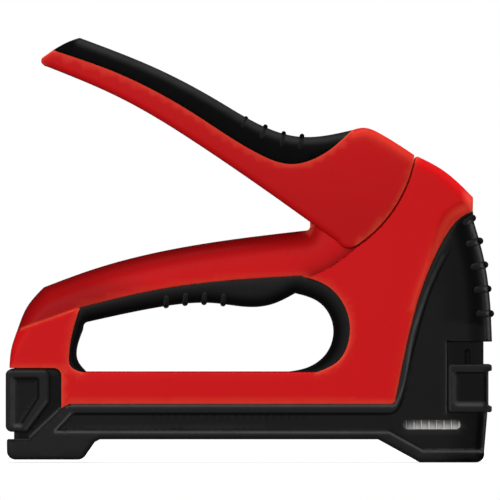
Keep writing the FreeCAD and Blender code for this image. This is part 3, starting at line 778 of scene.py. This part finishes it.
# ---- black base --------------------------------------------------------------------------------
def base_loop():
    top, *rest = FRONT_EDGE[::-1]
    return loop(
        (-184.2, 4.5),
        (0.9, (-184.2, 8.9), (-181.4, 8.9)),
        (0.4, (-181.4, 37.6), (-165.5, 37.6), ("arc", (-163.4, 36.7), (-162.5, 34.6)), (-162.5, 21.6),
         (-159.2, 23.2)),
        (0.5, (-31.0, 23.2), ("arc", (-29.6, 23.9), top)),
        (0.5, ("curve", rest)),
        (0.6, FRONT_FACE[1], (0.0, 96.2)),
        (0.03, ("curve", [(4.1, 79.6), (6.4, 60.5), (6.9, 48.1)])),
        (0.4, (5.9, 48.1), (5.9, 19.8), (7.5, 19.8)),
        (4.0, (6.2, 4.4)),
        (1.5, (6.2, 3.2), ("arc", (5.3, 1.1), (2.8, 0.0)), (-19.6, 0.0), (-36.2, 9.2), (-147.1, 9.2)),
        (1.5, (-149.2, 8.1), (-152.6, 3.2), ("arc", (-153.9, 1.7), (-156.0, 1.1)), (-180.8, 1.1)),
        (1.5, ("arc", (-183.2, 2.1), (-184.2, 4.5))),
    )


def base_panel_ring():
    """The sunken panel inside the base's raised rim."""
    inner = [
        (-33.0, 19.7), (-30.0, 20.4), (-28.0, 22.8), (-26.4, 28.4), (-21.2, 50.4), (-15.4, 69.6), (-9.6, 82.0),
        (-4.0, 92.0),
    ]
    return np.concatenate([
        straight((-165.0, 12.6), (-158.4, 19.7), 1.0),
        straight((-158.4, 19.7), inner[0], 1.5)[1:],
        spline(inner, 1.0)[1:],
        np.array([(20.0, 110.0), (20.0, 4.8)]),
        straight((5.0, 4.8), (-18.2, 4.8), 1.0),
        straight((-18.2, 4.8), (-32.0, 12.4), 1.0)[1:],
        straight((-32.0, 12.4), (-165.0, 12.6), 1.5)[1:],
    ])


def front_drop(p):
    """How far the sides fall away towards the rounded front."""
    d = distance(p, spline(FRONT_FACE[1:], 1.0))
    return 0.7 * drop(d, 10.0)


def track_slot():
    return stadium(-1.6, 0.6, 22.0, 45.2, 0.2)


def base_height(p, side):
    raised = np.array([
        (-200.0, -10.0), (-200.0, 8.9), (-175.6, 8.9), (-163.4, 20.8), (-160.9, 23.0), (-159.2, 23.2), (-159.2, 200.0),
        (60.0, 200.0), (60.0, -10.0),
    ])
    post, track_half = 12.0, 13.0
    h = post + (BASE_HALF - post) * np.sin(np.clip(signed(p, raised) / 0.8, 0, 1) * math.pi / 2)
    panel = ease(signed(p, base_panel_ring()) / 0.8)
    h = h - 0.75 * np.maximum(panel, ease((p[:, 1] - 56) / 32))
    in_track = signed(p, box_ring(-8.8, 30.0, 19.8, 48.4))
    h = np.where(in_track > 0, np.minimum(h, np.maximum(track_half, h - in_track * 9)), h)
    in_slot = signed(p, whole(track_slot()))
    h = np.where(in_slot > 0, np.minimum(h, np.maximum(track_half - 2.2, track_half - in_slot * 9)), h)
    h = np.where(p[:, 1] > 48.1, h - front_drop(p), h)
    return sink_screws(h, p, side, BASE_SCREWS, BODY_HALF - 4.1)


def make_base():
    window = stadium(-26.4, -3.2, 13.2, 16.9, 0.5)
    panel = base_panel_ring()
    raised = np.concatenate([
        straight((-184.0, 8.9), (-175.6, 8.9), 0.8), straight((-175.6, 8.9), (-163.4, 20.8), 0.8)[1:],
        straight((-163.4, 20.8), (-160.9, 23.0), 0.8)[1:],
    ])
    bead = np.concatenate([
        straight((-174.8, 10.4), (-162.2, 22.2), 1.0), straight((-159.6, 22.6), (-31.5, 22.6), 1.0),
        spline([(-29.4, 22.8), (-27.8, 26.0), (-22.5, 50.4), (-20.6, 57.0)], 1.0),
    ])
    upper_bead = spline([(-22.5, 50.4), (-19.0, 62.0), (-14.4, 74.0), (-9.0, 85.0)], 1.0)
    ledge = np.concatenate([
        straight((-158.8, 19.4), (-165.0, 12.7), 1.0), straight((-165.0, 12.1), (-31.8, 11.9), 1.0),
        straight((-31.8, 11.9), (-18.4, 4.5), 1.0), straight((-18.4, 4.4), (4.8, 4.4), 1.0),
    ])
    # Painted highlights: lines along the rim bead, the ledge, the raised step, the upper bead fading out, the track's
    # edge and the window's rim; the crisp edges get a faint painted highlight.
    highlit = [(bead, 0.5, 0.8), (ledge, 0.45, 1.0), (raised, 0.4, 0.5)]
    for k, strength in enumerate((0.6, 0.45, 0.3, 0.2)):
        highlit.append((upper_bead[6 + 7 * k:14 + 7 * k], 0.6, strength))
    highlit.append((straight((-8.9, 20.0), (-8.9, 47.6), 1.0), 0.35, 0.6))
    highlit.append((window[0][1], 0.35, 0.5))

    forward = np.array([
        (-200.0, -10.0), (-200.0, 8.9), (-175.6, 8.9), (-160.9, 23.0), (-159.2, 300.0), (60.0, 300.0), (60.0, -10.0)
    ])

    # Painted shade: dark in the recess behind the latch, in the track and its slot, in the sunken panel, under the top
    # bead, on the nose and towards the top of the front.
    def shade(p):
        post = 0.9 * ~inside(p, forward)
        track = 0.75 * (signed(p, box_ring(-8.8, 30.0, 19.8, 48.1)) > 0) + 0.3 * inside(p, whole(track_slot()))
        inset = 0.4 * inside(p, panel)
        under = 0.8 * np.exp(-np.abs(p[:, 1] - 19.6) / 0.6) * (p[:, 0] < -32) * (p[:, 0] > -158)
        nose = 0.85 * ease((p[:, 0] + 18) / 18) * ease((60 - p[:, 1]) / 30)
        nose = nose + 0.7 * ease((p[:, 0] + 20) / 14) * (p[:, 1] > 55)
        front = 0.6 * ease((p[:, 1] - 50) / 25) * (p[:, 0] > -60)
        return np.clip(np.max([post, track, inset, under, nose, front], axis=0), 0, 0.9)

    seeds = [
        (np.concatenate([panel, panel[:1]]), [0.2, 0.4, 0.6, 0.8, 1.1]),
        (whole(track_slot()), [0.12, 0.25]),
        (straight((-8.8, 19.8), (-8.8, 48.1), 1.0), [0.15, 0.3]),
        (straight((-8.8, 48.4), (9.0, 48.4), 1.0), [0.15, 0.3]),
        (straight((-8.8, 19.8), (7.0, 19.8), 1.0), [0.15, 0.3]),
        (raised, [0.2, 0.4, 0.6, 0.8, 1.2]),
    ]
    seeds.append((spline(FRONT_FACE[1:], 1.0), [2.6, 3.2, 4.0, 5.0, 6.2, 7.4, 8.7, 10.0]))
    seeds += screw_seeds(BASE_SCREWS)
    cavities = [
        column_ring(),
        box_ring(-161.0, 4.7, 10.4, 22.4),
        box_ring(-195.0, -160.5, 10.6, 21.0),
        box_ring(-1.2, 4.7, -4.0, 10.5),
    ]
    made = []
    for name, side in SIDES.items():
        piece = relief(
            "black_base_" + name, [base_loop(), window], base_height, seeds, cavities, 9.7, (side,),
            rim=0.15, highlit=highlit, shade=shade,
        )
        made.append(place_piece(piece, "housing", black_plastic(), "black_shell", "base_housing_" + name))
    return made


# ---- rubber -------------------------------------------------------------------------------------
def liner_height(p):
    low = spline(LINER_LOW, 1.0)
    front = spline([(-69.2, 67.4), (-59.2, 63.4), (-54.0, 54.0), (-56.8, 43.2), (-64.5, 37.6), (-72.0, 36.0)], 1.0)
    rear = np.concatenate([
        spline([(-151.0, 56.2), (-153.5, 55.2), (-154.1, 52.8)], 1.0),
        spline([(-154.1, 52.8), (-156.0, 40.0), (-152.8, 36.0)], 1.0)[1:],
    ])
    rounding = ((low, 5.0), (front, 5.0), (rear, 3.0))
    return LINER_HALF - np.max([drop(distance(p, line), radius) for line, radius in rounding], axis=0)


def make_hand_liner():
    outline = loop(
        HOLE_REAR[0],
        (0.35, ("curve", HOLE_REAR[1:])),
        (0.35, ("curve", HOLE_TOP[1:])),
        (0.35, ("curve", HOLE_FRONT[1:])),
        (0.3, (-72.0, 36.0)),
        (0.6, ("curve", [(-64.5, 37.6), (-56.8, 43.2), (-54.0, 54.0), (-59.2, 63.4), (-69.2, 67.4)])),
        (0.6, ("curve", LINER_LOW[::-1][1:])),
        (0.6, ("curve", [(-153.5, 55.2), (-154.1, 52.8)]), ("curve", [(-156.0, 40.0), (-152.8, 36.0)])),
        (0.3, "close"),
    )
    seeds = [(line, [1.0, 1.8, 2.8, 4.0, 5.0]) for _, line in outline[4:7]]

    # Painted shade: the liner darker over its rounding into the opening and near it; its crisp edges and ribs get a
    # faint painted highlight.
    def shade(p):
        return 0.95 * (1 - ease((LINER_HALF - liner_height(p) < 4.9) * 1.0 * (distance(p, inner) / 7.0)))

    inner = np.concatenate([line for _, line in outline[4:7]])
    liner = relief("liner", [outline], lambda p, side: liner_height(p), seeds, rim=0.18, shade=shade)
    pieces = [liner]
    low = spline(LINER_LOW, 0.5)
    for x in LINER_RIB_X:
        z = low[np.argmin(abs(low[:, 0] - x)), 1]
        bar = capsule((x, z + 0.2), (x + 0.3, z + 3.2), 1.15, 1.1)
        pieces.append(relief("liner_rib", [bar], lambda p, side: liner_height(p) + 0.8, grid=1.0, rim=0.25))
    rubber = soft_rubber("Liner rubber", 9.0)
    return place_piece(join(pieces, "hand_opening_liner"), "housing", rubber, "black_rubber", "hand_liner")


def make_front_grip():
    outline = loop(
        FRONT_FACE[1],
        (0.5, ("curve", FRONT_FACE[2:])),
        (0.5, (6.9, 48.1)),
        (0.03, ("curve", [(6.4, 60.5), (4.1, 79.6), (0.0, 96.2)])),
        (0.5, "close"),
    )

    def height(p, side):
        return BASE_HALF - 0.75 - front_drop(p)

    seeds = [(spline(FRONT_FACE[1:], 1.0), [0.1, 0.3, 0.6, 1.0, 1.5, 2.1])]
    # Painted shade: the whole skin darkened to match the painted shade on the base's front.
    pieces = [relief("skin", [outline], height, seeds, rim=0.05, shade=lambda p: np.full(len(p), 0.7))]
    tips = [
        (3.0, 97.4, -2.6, 95.6), (5.9, 88.3, -1.3, 87.1), (7.9, 78.8, 0.5, 77.9), (9.2, 69.2, 1.8, 68.8),
        (10.2, 59.3, 2.8, 59.3),
    ]

    def rib_height(p, side):
        return np.minimum(height(p, side) + 1.2, BASE_HALF)

    for x, z, back_x, back_z in tips:
        bar = capsule((back_x + 1.45, back_z), (x - 1.45, z), 1.45, 1.3)
        pieces.append(relief("front_rib", [bar], rib_height, grid=1.0, rim=0.3))
    return place_piece(join(pieces, "front_rubber"), "housing", black_plastic(), "black_rubber", "front_grip")


# ---- lever --------------------------------------------------------------------------------------
def lever_space():
    """The lever's open underside."""
    web = [(x, z - 3.6) for x, z in [(-157.0, 167.2)] + GRIP_TOP[1:]]
    head = [web[-1], (-42.2, 129.8), (-36.0, 127.6), (-27.0, 121.8)]
    return np.concatenate([
        np.array([(-157.0, 140.0)]),
        spline(web, 2.0),
        spline(head, 2.0)[1:],
        np.array([(-10.0, 112.0), (-30.0, 70.0), (-60.0, 70.0)]),
    ])


def make_lever():
    skirt_inner = bpy.context.scene.staple_gun_shells.slim_half / MM + 0.4
    shell_loop = loop(
        GRIP_LOW[-1],
        (0.55, ("curve", GRIP_LOW[::-1][1:])),
        (3.6, ("curve", [(-42.2, 133.5), (-35.2, 131.1), (-21.7, 122.6)])),
        (0.35, (-21.7, 121.5), ("arc", (-29.6, 101.8), (-44.5, 86.7))),
        ((0.35, 2.2), ("arc", (-48.0, 85.5), (-52.4, 88.1))),
        (2.2, ("curve", [(-75.2, 104.5), (-107.2, 126.5), (-139.2, 145.6), (-168.8, 158.3)])),
        (1.2, ("arc", (-170.5, 159.7), (-169.6, 161.7)), "close"),
    )
    head = spline([(-46.4, 132.6), (-42.2, 133.5), (-35.2, 131.1), (-21.7, 122.6)], 1.0)
    seam = arc((-21.7, 121.5), (-29.6, 101.8), (-44.5, 86.7), 1.0)

    # Painted shade: darker towards the bottom and the rear, and along the seam by the body.
    def shade(p):
        fall = 0.22 * ease((150 - p[:, 1]) / 60) + 0.1 * ease((-60 - p[:, 0]) / 60)
        return fall + 0.25 * np.exp(-distance(p, seam) / 0.8)

    # Painted highlight: a band along the head's top, and on the crisp edges.
    shell = relief(
        "shell", [shell_loop], lambda p, side: np.full(len(p), LEVER_HALF), (), [lever_space()], skirt_inner,
        rim=0.8, highlit=[(head + (0, -2.0), 2.2, 0.3)], shade=shade,
    )
    web = np.array([(-157.0, 167.2)] + GRIP_TOP[1:])
    upper, lower = spline(web - (0, 3.7), 2.0), spline(web - (0, 6.2), 2.0)
    ends = [straight(upper[-1], lower[-1], 1.0), straight(lower[0], upper[0], 1.0)]
    spine_loop = [(0.2, upper), (0.2, ends[0]), (0.2, lower[::-1]), (0.2, ends[1])]
    spine = relief("spine", [spine_loop], lambda p, side: np.full(len(p), skirt_inner - 0.1))
    lever = join([shell, spine], "squeeze_lever")
    place_piece(lever, "lever", red_plastic(), "red_shell", "lever_shell")
    grip_loop = loop(
        GRIP_LOW[-1],
        (1.6, ("curve", GRIP_END[1:])),
        (6.0, ("curve", GRIP_TOP[1:])),
        (0.4, ("curve", GRIP_LOW[1:])),
    )
    top = spline(GRIP_TOP, 1.0)

    def grip_height(p, side):
        return np.full(len(p), LEVER_HALF)

    # Painted sheen: a light band along the grip's rounded top; the ribs' crisp edges get a painted highlight.
    highlit = [(top + (0, -1.2), 1.8, 0.3)]
    grip = relief("grip", [grip_loop], grip_height, (), [lever_space()], skirt_inner, rim=0.0, highlit=highlit)
    pieces = [grip]
    ribs = [
        ((-90.2, 134.2), (-88.9, 137.2), 0.25), ((-82.6, 129.8), (-81.1, 133.9), 0.5),
        ((-74.6, 126.6), (-73.8, 131.2), 0.8), ((-67.2, 125.6), (-66.5, 130.2), 0.8),
    ]
    for foot, tip, proud in ribs:
        bar = capsule(foot, tip, 0.95, 0.9)

        def rib_height(p, side, proud=proud):
            return np.minimum(LEVER_HALF - drop(distance(p, top), 6.0) + proud, LEVER_HALF + 0.4)

        pieces.append(relief("grip_rib", [bar], rib_height, grid=0.8, rim=0.3))
    place_piece(join(pieces, "lever_soft_grip"), "lever", soft_rubber(), "black_rubber", "lever_grip")
    return lever


# ---- slider, latch and staples --------------------------------------------------------------------
def make_slider():
    outline = loop(
        (-6.9, 20.0),
        (0.7, (8.4, 20.0), ("arc", (9.0, 20.3), (9.2, 21.0)), (9.2, 22.2), (7.9, 22.8)),
        (2.0, (7.9, 36.2)),
        (0.7, (9.2, 36.7), (9.2, 38.2), ("arc", (9.0, 38.8), (8.4, 39.0)), (-6.9, 39.0)),
        (0.7, ("arc", (-7.8, 38.7), (-8.1, 37.8)), (-8.1, 21.2), ("arc", (-7.8, 20.3), (-6.9, 20.0))),
    )
    skew = np.array([0.5, 1.0])  # the scoop's left slope is twice as long as the others
    scoop = np.concatenate([
        arc((-4.9, 36.2), (-6.3, 35.6), (-6.9, 34.2), 0.4), arc((-6.9, 24.8), (-6.3, 23.4), (-4.9, 22.8), 0.4),
        np.array([(20.0, 22.8), (20.0, 36.2)]),
    ])

    def height(p, side):
        return SLIDER_HALF - 1.3 * ease(signed(p * skew, scoop * skew) / 0.9)

    seeds = [(closed_ring(scoop, 0.5), [0.15, 0.3, 0.5, 0.7, 0.9, 1.2, 1.5, 1.8])]
    # Painted highlights on the scoop's left and lower slopes and along the left edge; painted shade inside the scoop.
    slope = np.concatenate([straight((-5.9, 35.0), (-5.9, 24.4), 0.5), straight((-4.6, 23.2), (5.0, 23.2), 0.5)])
    highlit = [(slope, 0.8, 0.9), (straight((-7.6, 21.0), (-7.6, 38.0), 1.0), 0.5, 0.25)]
    piece = relief(
        "slider", [outline], height, seeds, [box_ring(-20.0, 6.1, 10.0, 50.0)], 13.2, grid=2.0,
        rim=0.2, highlit=highlit, shade=lambda p: 0.7 * ease(signed(p, scoop) / 1.5),
    )
    return place_piece(piece, "wire_guide", black_plastic(), "black_shell", "wire_guide_slider")


def make_latch():
    outline = loop(
        (-182.2, 12.2),
        (1.0, ("arc", (-184.0, 12.9), (-184.7, 14.7)), (-184.7, 34.7), ("arc", (-184.0, 36.5), (-182.2, 37.2)),
         (-169.8, 37.2)),
        (1.0, ("arc", (-168.0, 36.5), (-167.3, 34.7)), (-167.3, 24.0), (-176.0, 12.2), "close"),
    )
    pad = np.concatenate([
        arc((-181.0, 14.0), (-182.1, 14.4), (-182.5, 15.5), 0.4), arc((-182.5, 32.7), (-182.1, 33.8), (-181.0, 34.2), 0.4),
        arc((-172.5, 34.2), (-171.4, 33.8), (-171.0, 32.7), 0.4), np.array([(-171.0, 25.4), (-178.4, 14.0)]),
    ])

    def height(p, side):
        return LATCH_HALF - 1.2 * ease(signed(p, pad) / 1.3)

    seeds = [(closed_ring(pad, 0.5), [0.2, 0.4, 0.65, 0.9, 1.1, 1.3])]
    slope = np.concatenate([
        straight((-181.8, 33.0), (-181.8, 15.4), 0.5), straight((-181.0, 14.7), (-178.8, 14.7), 0.5),
    ])
    # Painted highlights on the pad's left and lower slopes, the top edge and the slanted edge; painted shade inside
    # the pad.
    highlit = [(slope, 0.7, 0.9), (straight((-184.0, 36.4), (-169.0, 36.4), 1.0), 0.6, 0.4)]
    highlit.append((straight((-168.3, 24.4), (-176.6, 13.4), 1.0), 0.6, 0.3))
    piece = relief(
        "latch", [outline], height, seeds, [box_ring(-181.7, -100.0, 0.0, 60.0)], 12.3, grid=2.0,
        rim=0.2, highlit=highlit, shade=lambda p: 0.5 * ease(signed(p, pad) / 1.5),
    )
    return place_piece(piece, "drawer", black_plastic(), "black_shell", "magazine_latch")


def make_staples():
    """Insulated staples: grey caps with a bright wire showing between them."""
    low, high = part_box("staple_strip")
    front, half, base, top = high.x / MM, high.y / MM, low.z / MM, high.z / MM
    count, pitch, leg, lead, wire_width = 20, 3.0, 1.6, 0.5, 0.42
    caps, wires, everywhere = [], [], box_ring(-300, 50, 0, 50)
    for i in range(count):
        x = front + lead - i * pitch
        back, fore = x - pitch + wire_width + 0.05, min(x - 0.05, front)
        for side in (-1, 1):
            corners = [(back, base), (fore, base), (fore, top), (back, top)]
            cap = [(0.5, straight(a, b, 0.6)) for a, b in zip(corners, corners[1:] + corners[:1])]
            # Painted shadow: the caps darker towards the top, under the window's upper wall; the caps' and wires'
            # edges get painted highlights.
            caps.append(relief(
                "cap", [cap], lambda p, s: np.full(len(p), half), (), [everywhere], half - leg, (side,), 1.5,
                shade=lambda p: 0.7 * ease((p[:, 1] - 13.4) / 3.2),
            ))
            edge = x - pitch + wire_width
            corners = [(x - pitch, base + 0.3), (edge, base + 0.3), (edge, top - 0.3), (x - pitch, top - 0.3)]
            wire = [(0.1, straight(a, b, 0.6)) for a, b in zip(corners, corners[1:] + corners[:1])]
            wires.append(relief(
                "wire", [wire], lambda p, s: np.full(len(p), half + 0.1), (), [everywhere], half - 0.9, (side,), 1.5
            ))
    place_piece(join(wires, "staple_wires"), "housing", bright_wire(), "steel")
    return place_piece(join(caps, "staples"), "housing", insulation(), "white_plastic", "staple_strip")


def coil(name, node, axis, wire_r, turns):
    """A coil of round wire with closed ends, in the space that a CAD spring fills."""
    low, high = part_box(node)
    along, across = Vector(axis), Vector((0, 1, 0))
    third = along.cross(across)
    mean_r = (high.y - low.y) / 2 - wire_r
    start = (low + high) / 2 - along * ((high - low).dot(along) / 2 - wire_r)
    rise = (high - low).dot(along) - 2 * wire_r
    steps, facets = turns * COIL_STEPS, 12
    vertices = []
    for k in range(steps + 1):
        turn = 2 * math.pi * k / COIL_STEPS
        out = across * math.cos(turn) + third * math.sin(turn)
        side = along.cross(out) * mean_r * 2 * math.pi * turns + along * rise
        binormal = side.normalized().cross(out)
        centre = start + along * rise * k / steps + out * mean_r
        for j in range(facets):
            a = 2 * math.pi * j / facets
            vertices.append(centre + wire_r * (out * math.cos(a) + binormal * math.sin(a)))
    faces = [tuple(range(facets)), tuple(range(steps * facets, (steps + 1) * facets))]
    for k in range(steps):
        for j in range(facets):
            a, b = k * facets + j, k * facets + (j + 1) % facets
            faces.append((a, b, b + facets, a + facets))
    mesh = bpy.data.meshes.new(name)
    mesh.from_pydata([tuple(v) for v in vertices], [], faces)
    return finish_mesh(name, mesh)


def make_springs():
    """The striker's spring and the pusher's spring, which shorten as their joints move."""
    wire = steel("Spring wire", (0.4, 0.41, 0.43, 1), 0.25)
    power = coil("power_coil", "power_spring", (0, 0, 1), POWER_WIRE_R * MM, POWER_TURNS)
    place_piece(power, "housing", wire, "spring_steel", "power_spring")
    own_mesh(power)
    pusher = coil("pusher_coil", "pusher_spring", (1, 0, 0), PUSHER_WIRE_R * MM, PUSHER_TURNS)
    place_piece(pusher, "drawer", wire, "spring_steel", "pusher_spring")
    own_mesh(pusher)
    return power, pusher


STEEL_NODES = {
    "Steel": [
        "lever_core", "lever_pivot_pin", "lever_core_pins", "lift_pin", "lift_yoke", "striker_blade",
        "striker_guide_right", "striker_guide_left", "nose_plate", "wire_guide_foot", "magazine_channel",
        "staple_rail", "pusher_rod",
    ],
    "Dark steel": ["body_screws", "base_screws", "lift_bush", "striker_carriage", "staple_pusher"],
}


def finish_nodes():
    """Materials for the CAD pieces that stay as they are."""
    steels = {
        "Steel": steel("Steel", (0.55, 0.56, 0.57, 1), 0.3),
        "Dark steel": steel("Dark steel", (0.16, 0.16, 0.17, 1), 0.38),
    }
    for kind, names in STEEL_NODES.items():
        for name in names:
            dress(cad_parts[name], steels[kind])
    dress(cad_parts["spring_seat"], black_plastic())
    dress(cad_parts["striker_bumper"], soft_rubber())


def dress(node, material):
    if not node.material_slots:
        node.data.materials.append(material)
    for slot in node.material_slots:
        slot.material = material


# ---- stage ------------------------------------------------------------------------------------------
def area_lamp(name, place, aim, size, power, colour=(1.0, 1.0, 1.0)):
    lamp = bpy.data.lights.new(name, "AREA")
    lamp.shape = "RECTANGLE"
    lamp.size, lamp.size_y = size
    lamp.energy = power
    lamp.color = colour
    made = bpy.data.objects.new(name, lamp)
    made.location = place
    made.rotation_euler = (Vector(aim) - Vector(place)).to_track_quat("-Z", "Y").to_euler()
    bpy.context.scene.collection.objects.link(made)
    return made


def lit_paper():
    """White paper that fades out away from the tool and doesn't hide it from below."""
    paper = bpy.data.materials.new("Lit paper")
    paper.use_nodes = True
    tree = paper.node_tree
    shader = tree.nodes["Principled BSDF"]
    shader.inputs["Roughness"].default_value = 0.9
    shader.inputs["Specular IOR Level"].default_value = 0.0
    seen = add_node(tree, "ShaderNodeLightPath").outputs["Is Camera Ray"]
    tone = blend(tree, seen, (0.3, 0.3, 0.3, 1), (0.5, 0.5, 0.5, 1))
    tree.links.new(tone, shader.inputs["Base Color"])
    shader.inputs["Emission Color"].default_value = (1, 1, 1, 1)
    tree.links.new(calc(tree, "MULTIPLY", seen, 0.8), shader.inputs["Emission Strength"])
    place = add_node(tree, "ShaderNodeTexCoord").outputs["Object"]
    away = add_node(tree, "ShaderNodeVectorMath", {0: place}, operation="LENGTH").outputs["Value"]
    fade = remap(tree, away, 0.12, FLOOR_R, 1.0, 0.0, interpolation_type="SMOOTHSTEP")
    below = add_node(tree, "ShaderNodeNewGeometry").outputs["Backfacing"]
    cover = calc(tree, "MULTIPLY", fade, calc(tree, "SUBTRACT", 1.0, below))
    tree.links.new(cover, shader.inputs["Alpha"])
    return paper


def split_by_camera(tree, kind, seen, fill):
    """Shows the camera one brightness of the world and lights the tool with another."""
    background = tree.nodes[kind]
    path = add_node(tree, "ShaderNodeLightPath")
    amount = remap(tree, path.outputs["Is Camera Ray"], 0.0, 1.0, fill, seen[0])
    background.inputs["Color"].default_value = seen
    tree.links.new(amount, background.inputs["Strength"])


def make_stage():
    studio = bpy.context.scene.staple_gun_studio
    low, high = (Vector(corner) for corner in CAD_BOX)
    centre = (low + high) / 2
    floor = bpy.data.meshes.new("floor")
    angles = [2 * math.pi * k / 96 for k in range(96)]
    ring = [(FLOOR_R * math.cos(a), FLOOR_R * math.sin(a), 0.0) for a in angles]
    floor.from_pydata(ring, [], [range(len(ring))])
    stage = bpy.data.objects.new("floor", floor)
    stage.location = (centre.x, centre.y, low.z - 0.0003)
    bpy.context.scene.collection.objects.link(stage)
    floor.materials.append(lit_paper())

    world = bpy.data.worlds.new("Studio")
    bpy.context.scene.world = world
    world.use_nodes = True
    split_by_camera(world.node_tree, "Background", (1.0, 1.0, 1.0, 1.0), studio.fill)
    for name, place, size, power in (
        ("front", (-0.4, -1.55, 0.4), (1.2, 1.0), studio.front),
        ("rim", (1.1, 0.25, 0.15), (0.3, 0.8), studio.rim),
        ("top", (0.05, -0.05, 1.2), (0.5, 0.25), studio.top),
    ):
        area_lamp(name, Vector(place) + centre, centre, size, power)

    camera = bpy.data.cameras.new("camera")
    camera.lens, camera.sensor_width = studio.lens, 36.0
    seen = studio.frame_width
    distance_back = seen * camera.lens / camera.sensor_width
    made = bpy.data.objects.new("camera", camera)
    made.location = (centre.x, -distance_back, centre.z)
    made.rotation_euler = (math.pi / 2, 0, 0)
    camera.clip_start, camera.clip_end = 0.05, 30.0
    bpy.context.scene.collection.objects.link(made)
    bpy.context.scene.camera = made
    bpy.context.scene.view_settings.view_transform = "Standard"
    bpy.context.scene.view_settings.look = "None"


# ---- add-on ------------------------------------------------------------------------------------------
class ShellSizes(bpy.types.PropertyGroup):
    slim_half: bpy.props.FloatProperty(
        name="Slim half width", description="Half width of the bar and of the cheeks in the lever",
        default=(LINER_HALF - 0.6) * MM, unit="LENGTH", precision=4,
    )


class Finish(bpy.types.PropertyGroup):
    red: bpy.props.FloatVectorProperty(
        name="Red", description="Colour of the red shells",
        default=(0.55, 0.0065, 0.008), subtype="COLOR", min=0, max=1,
    )
    # Painted highlight colour for red edges, mixed in by the rim mask.
    red_edge: bpy.props.FloatVectorProperty(
        name="Red edge", description="Colour where a red edge is rubbed",
        default=(0.80, 0.10, 0.05), subtype="COLOR", min=0, max=1,
    )
    black: bpy.props.FloatVectorProperty(
        name="Black", description="Colour of the black shells",
        default=(0.0112, 0.0108, 0.0112), subtype="COLOR", min=0, max=1,
    )
    # Painted highlight colour for black and rubber edges, mixed in by the rim mask.
    black_edge: bpy.props.FloatVectorProperty(
        name="Black edge", description="Colour where a black edge is rubbed",
        default=(0.074, 0.074, 0.073), subtype="COLOR", min=0, max=1,
    )
    rubber: bpy.props.FloatVectorProperty(
        name="Rubber", description="Colour of the soft grips",
        default=(0.0013, 0.0013, 0.0014), subtype="COLOR", min=0, max=1,
    )


class Studio(bpy.types.PropertyGroup):
    lens: bpy.props.FloatProperty(name="Lens", description="Focal length in millimetres", default=800.0)
    frame_width: bpy.props.FloatProperty(
        name="Frame width", description="Width seen at the tool", default=0.2, unit="LENGTH"
    )
    fill: bpy.props.FloatProperty(name="Fill", description="Strength of the even light", default=0.06)
    front: bpy.props.FloatProperty(name="Front", description="Large lamp in front", default=25.5, unit="POWER")
    rim: bpy.props.FloatProperty(name="Rim", description="Lamp beside the nose", default=12.0, unit="POWER")
    top: bpy.props.FloatProperty(name="Top", description="Lamp overhead", default=12.0, unit="POWER")


def operator(idname, label, doc, make):
    """An operator class that makes one piece or group of like pieces."""

    def execute(self, context):
        make()
        return {"FINISHED"}

    return type(label.replace(" ", ""), (bpy.types.Operator,), {
        "__doc__": doc, "bl_idname": "staple_gun." + idname, "bl_label": label, "execute": execute,
        "bl_options": {"REGISTER", "UNDO"},
    })


OPERATORS = [
    operator("body", "Red body", "Make the two red body halves", make_body),
    operator("base", "Black base", "Make the two black base halves", make_base),
    operator("liner", "Hand liner", "Make the rubber liner of the hand opening", make_hand_liner),
    operator("front", "Front rubber", "Make the ribbed front", make_front_grip),
    operator("lever", "Squeeze lever", "Make the lever and its soft grip", make_lever),
    operator("slider", "Wire guide", "Make the sliding wire guide", make_slider),
    operator("latch", "Magazine latch", "Make the latch at the rear", make_latch),
    operator("staples", "Staples", "Make the strip of insulated staples", make_staples),
    operator("springs", "Springs", "Make the two coil springs", make_springs),
    operator("metal", "Metal finishes", "Give the CAD pieces their finishes", finish_nodes),
    operator("stage", "Studio", "Make the floor, lamps and camera", make_stage),
]


class StapleGunPanel(bpy.types.Panel):
    bl_idname = "VIEW3D_PT_staple_gun"
    bl_label = "Staple gun"
    bl_space_type = "VIEW_3D"
    bl_region_type = "UI"
    bl_category = "Staple gun"

    def draw(self, context):
        for made in OPERATORS:
            self.layout.operator(made.bl_idname)


PROPERTIES = {"staple_gun_shells": ShellSizes, "staple_gun_finish": Finish, "staple_gun_studio": Studio}


def register():
    for cls in [*PROPERTIES.values(), *OPERATORS, StapleGunPanel]:
        bpy.utils.register_class(cls)
    for name, group in PROPERTIES.items():
        setattr(bpy.types.Scene, name, bpy.props.PointerProperty(type=group))


def unregister():
    for name in PROPERTIES:
        delattr(bpy.types.Scene, name)
    for cls in [StapleGunPanel, *OPERATORS[::-1], *PROPERTIES.values()]:
        bpy.utils.unregister_class(cls)


def main():
    register()
    for made in OPERATORS:
        group, name = made.bl_idname.split(".")
        getattr(getattr(bpy.ops, group), name)()


if __name__ == "__main__":
    main()
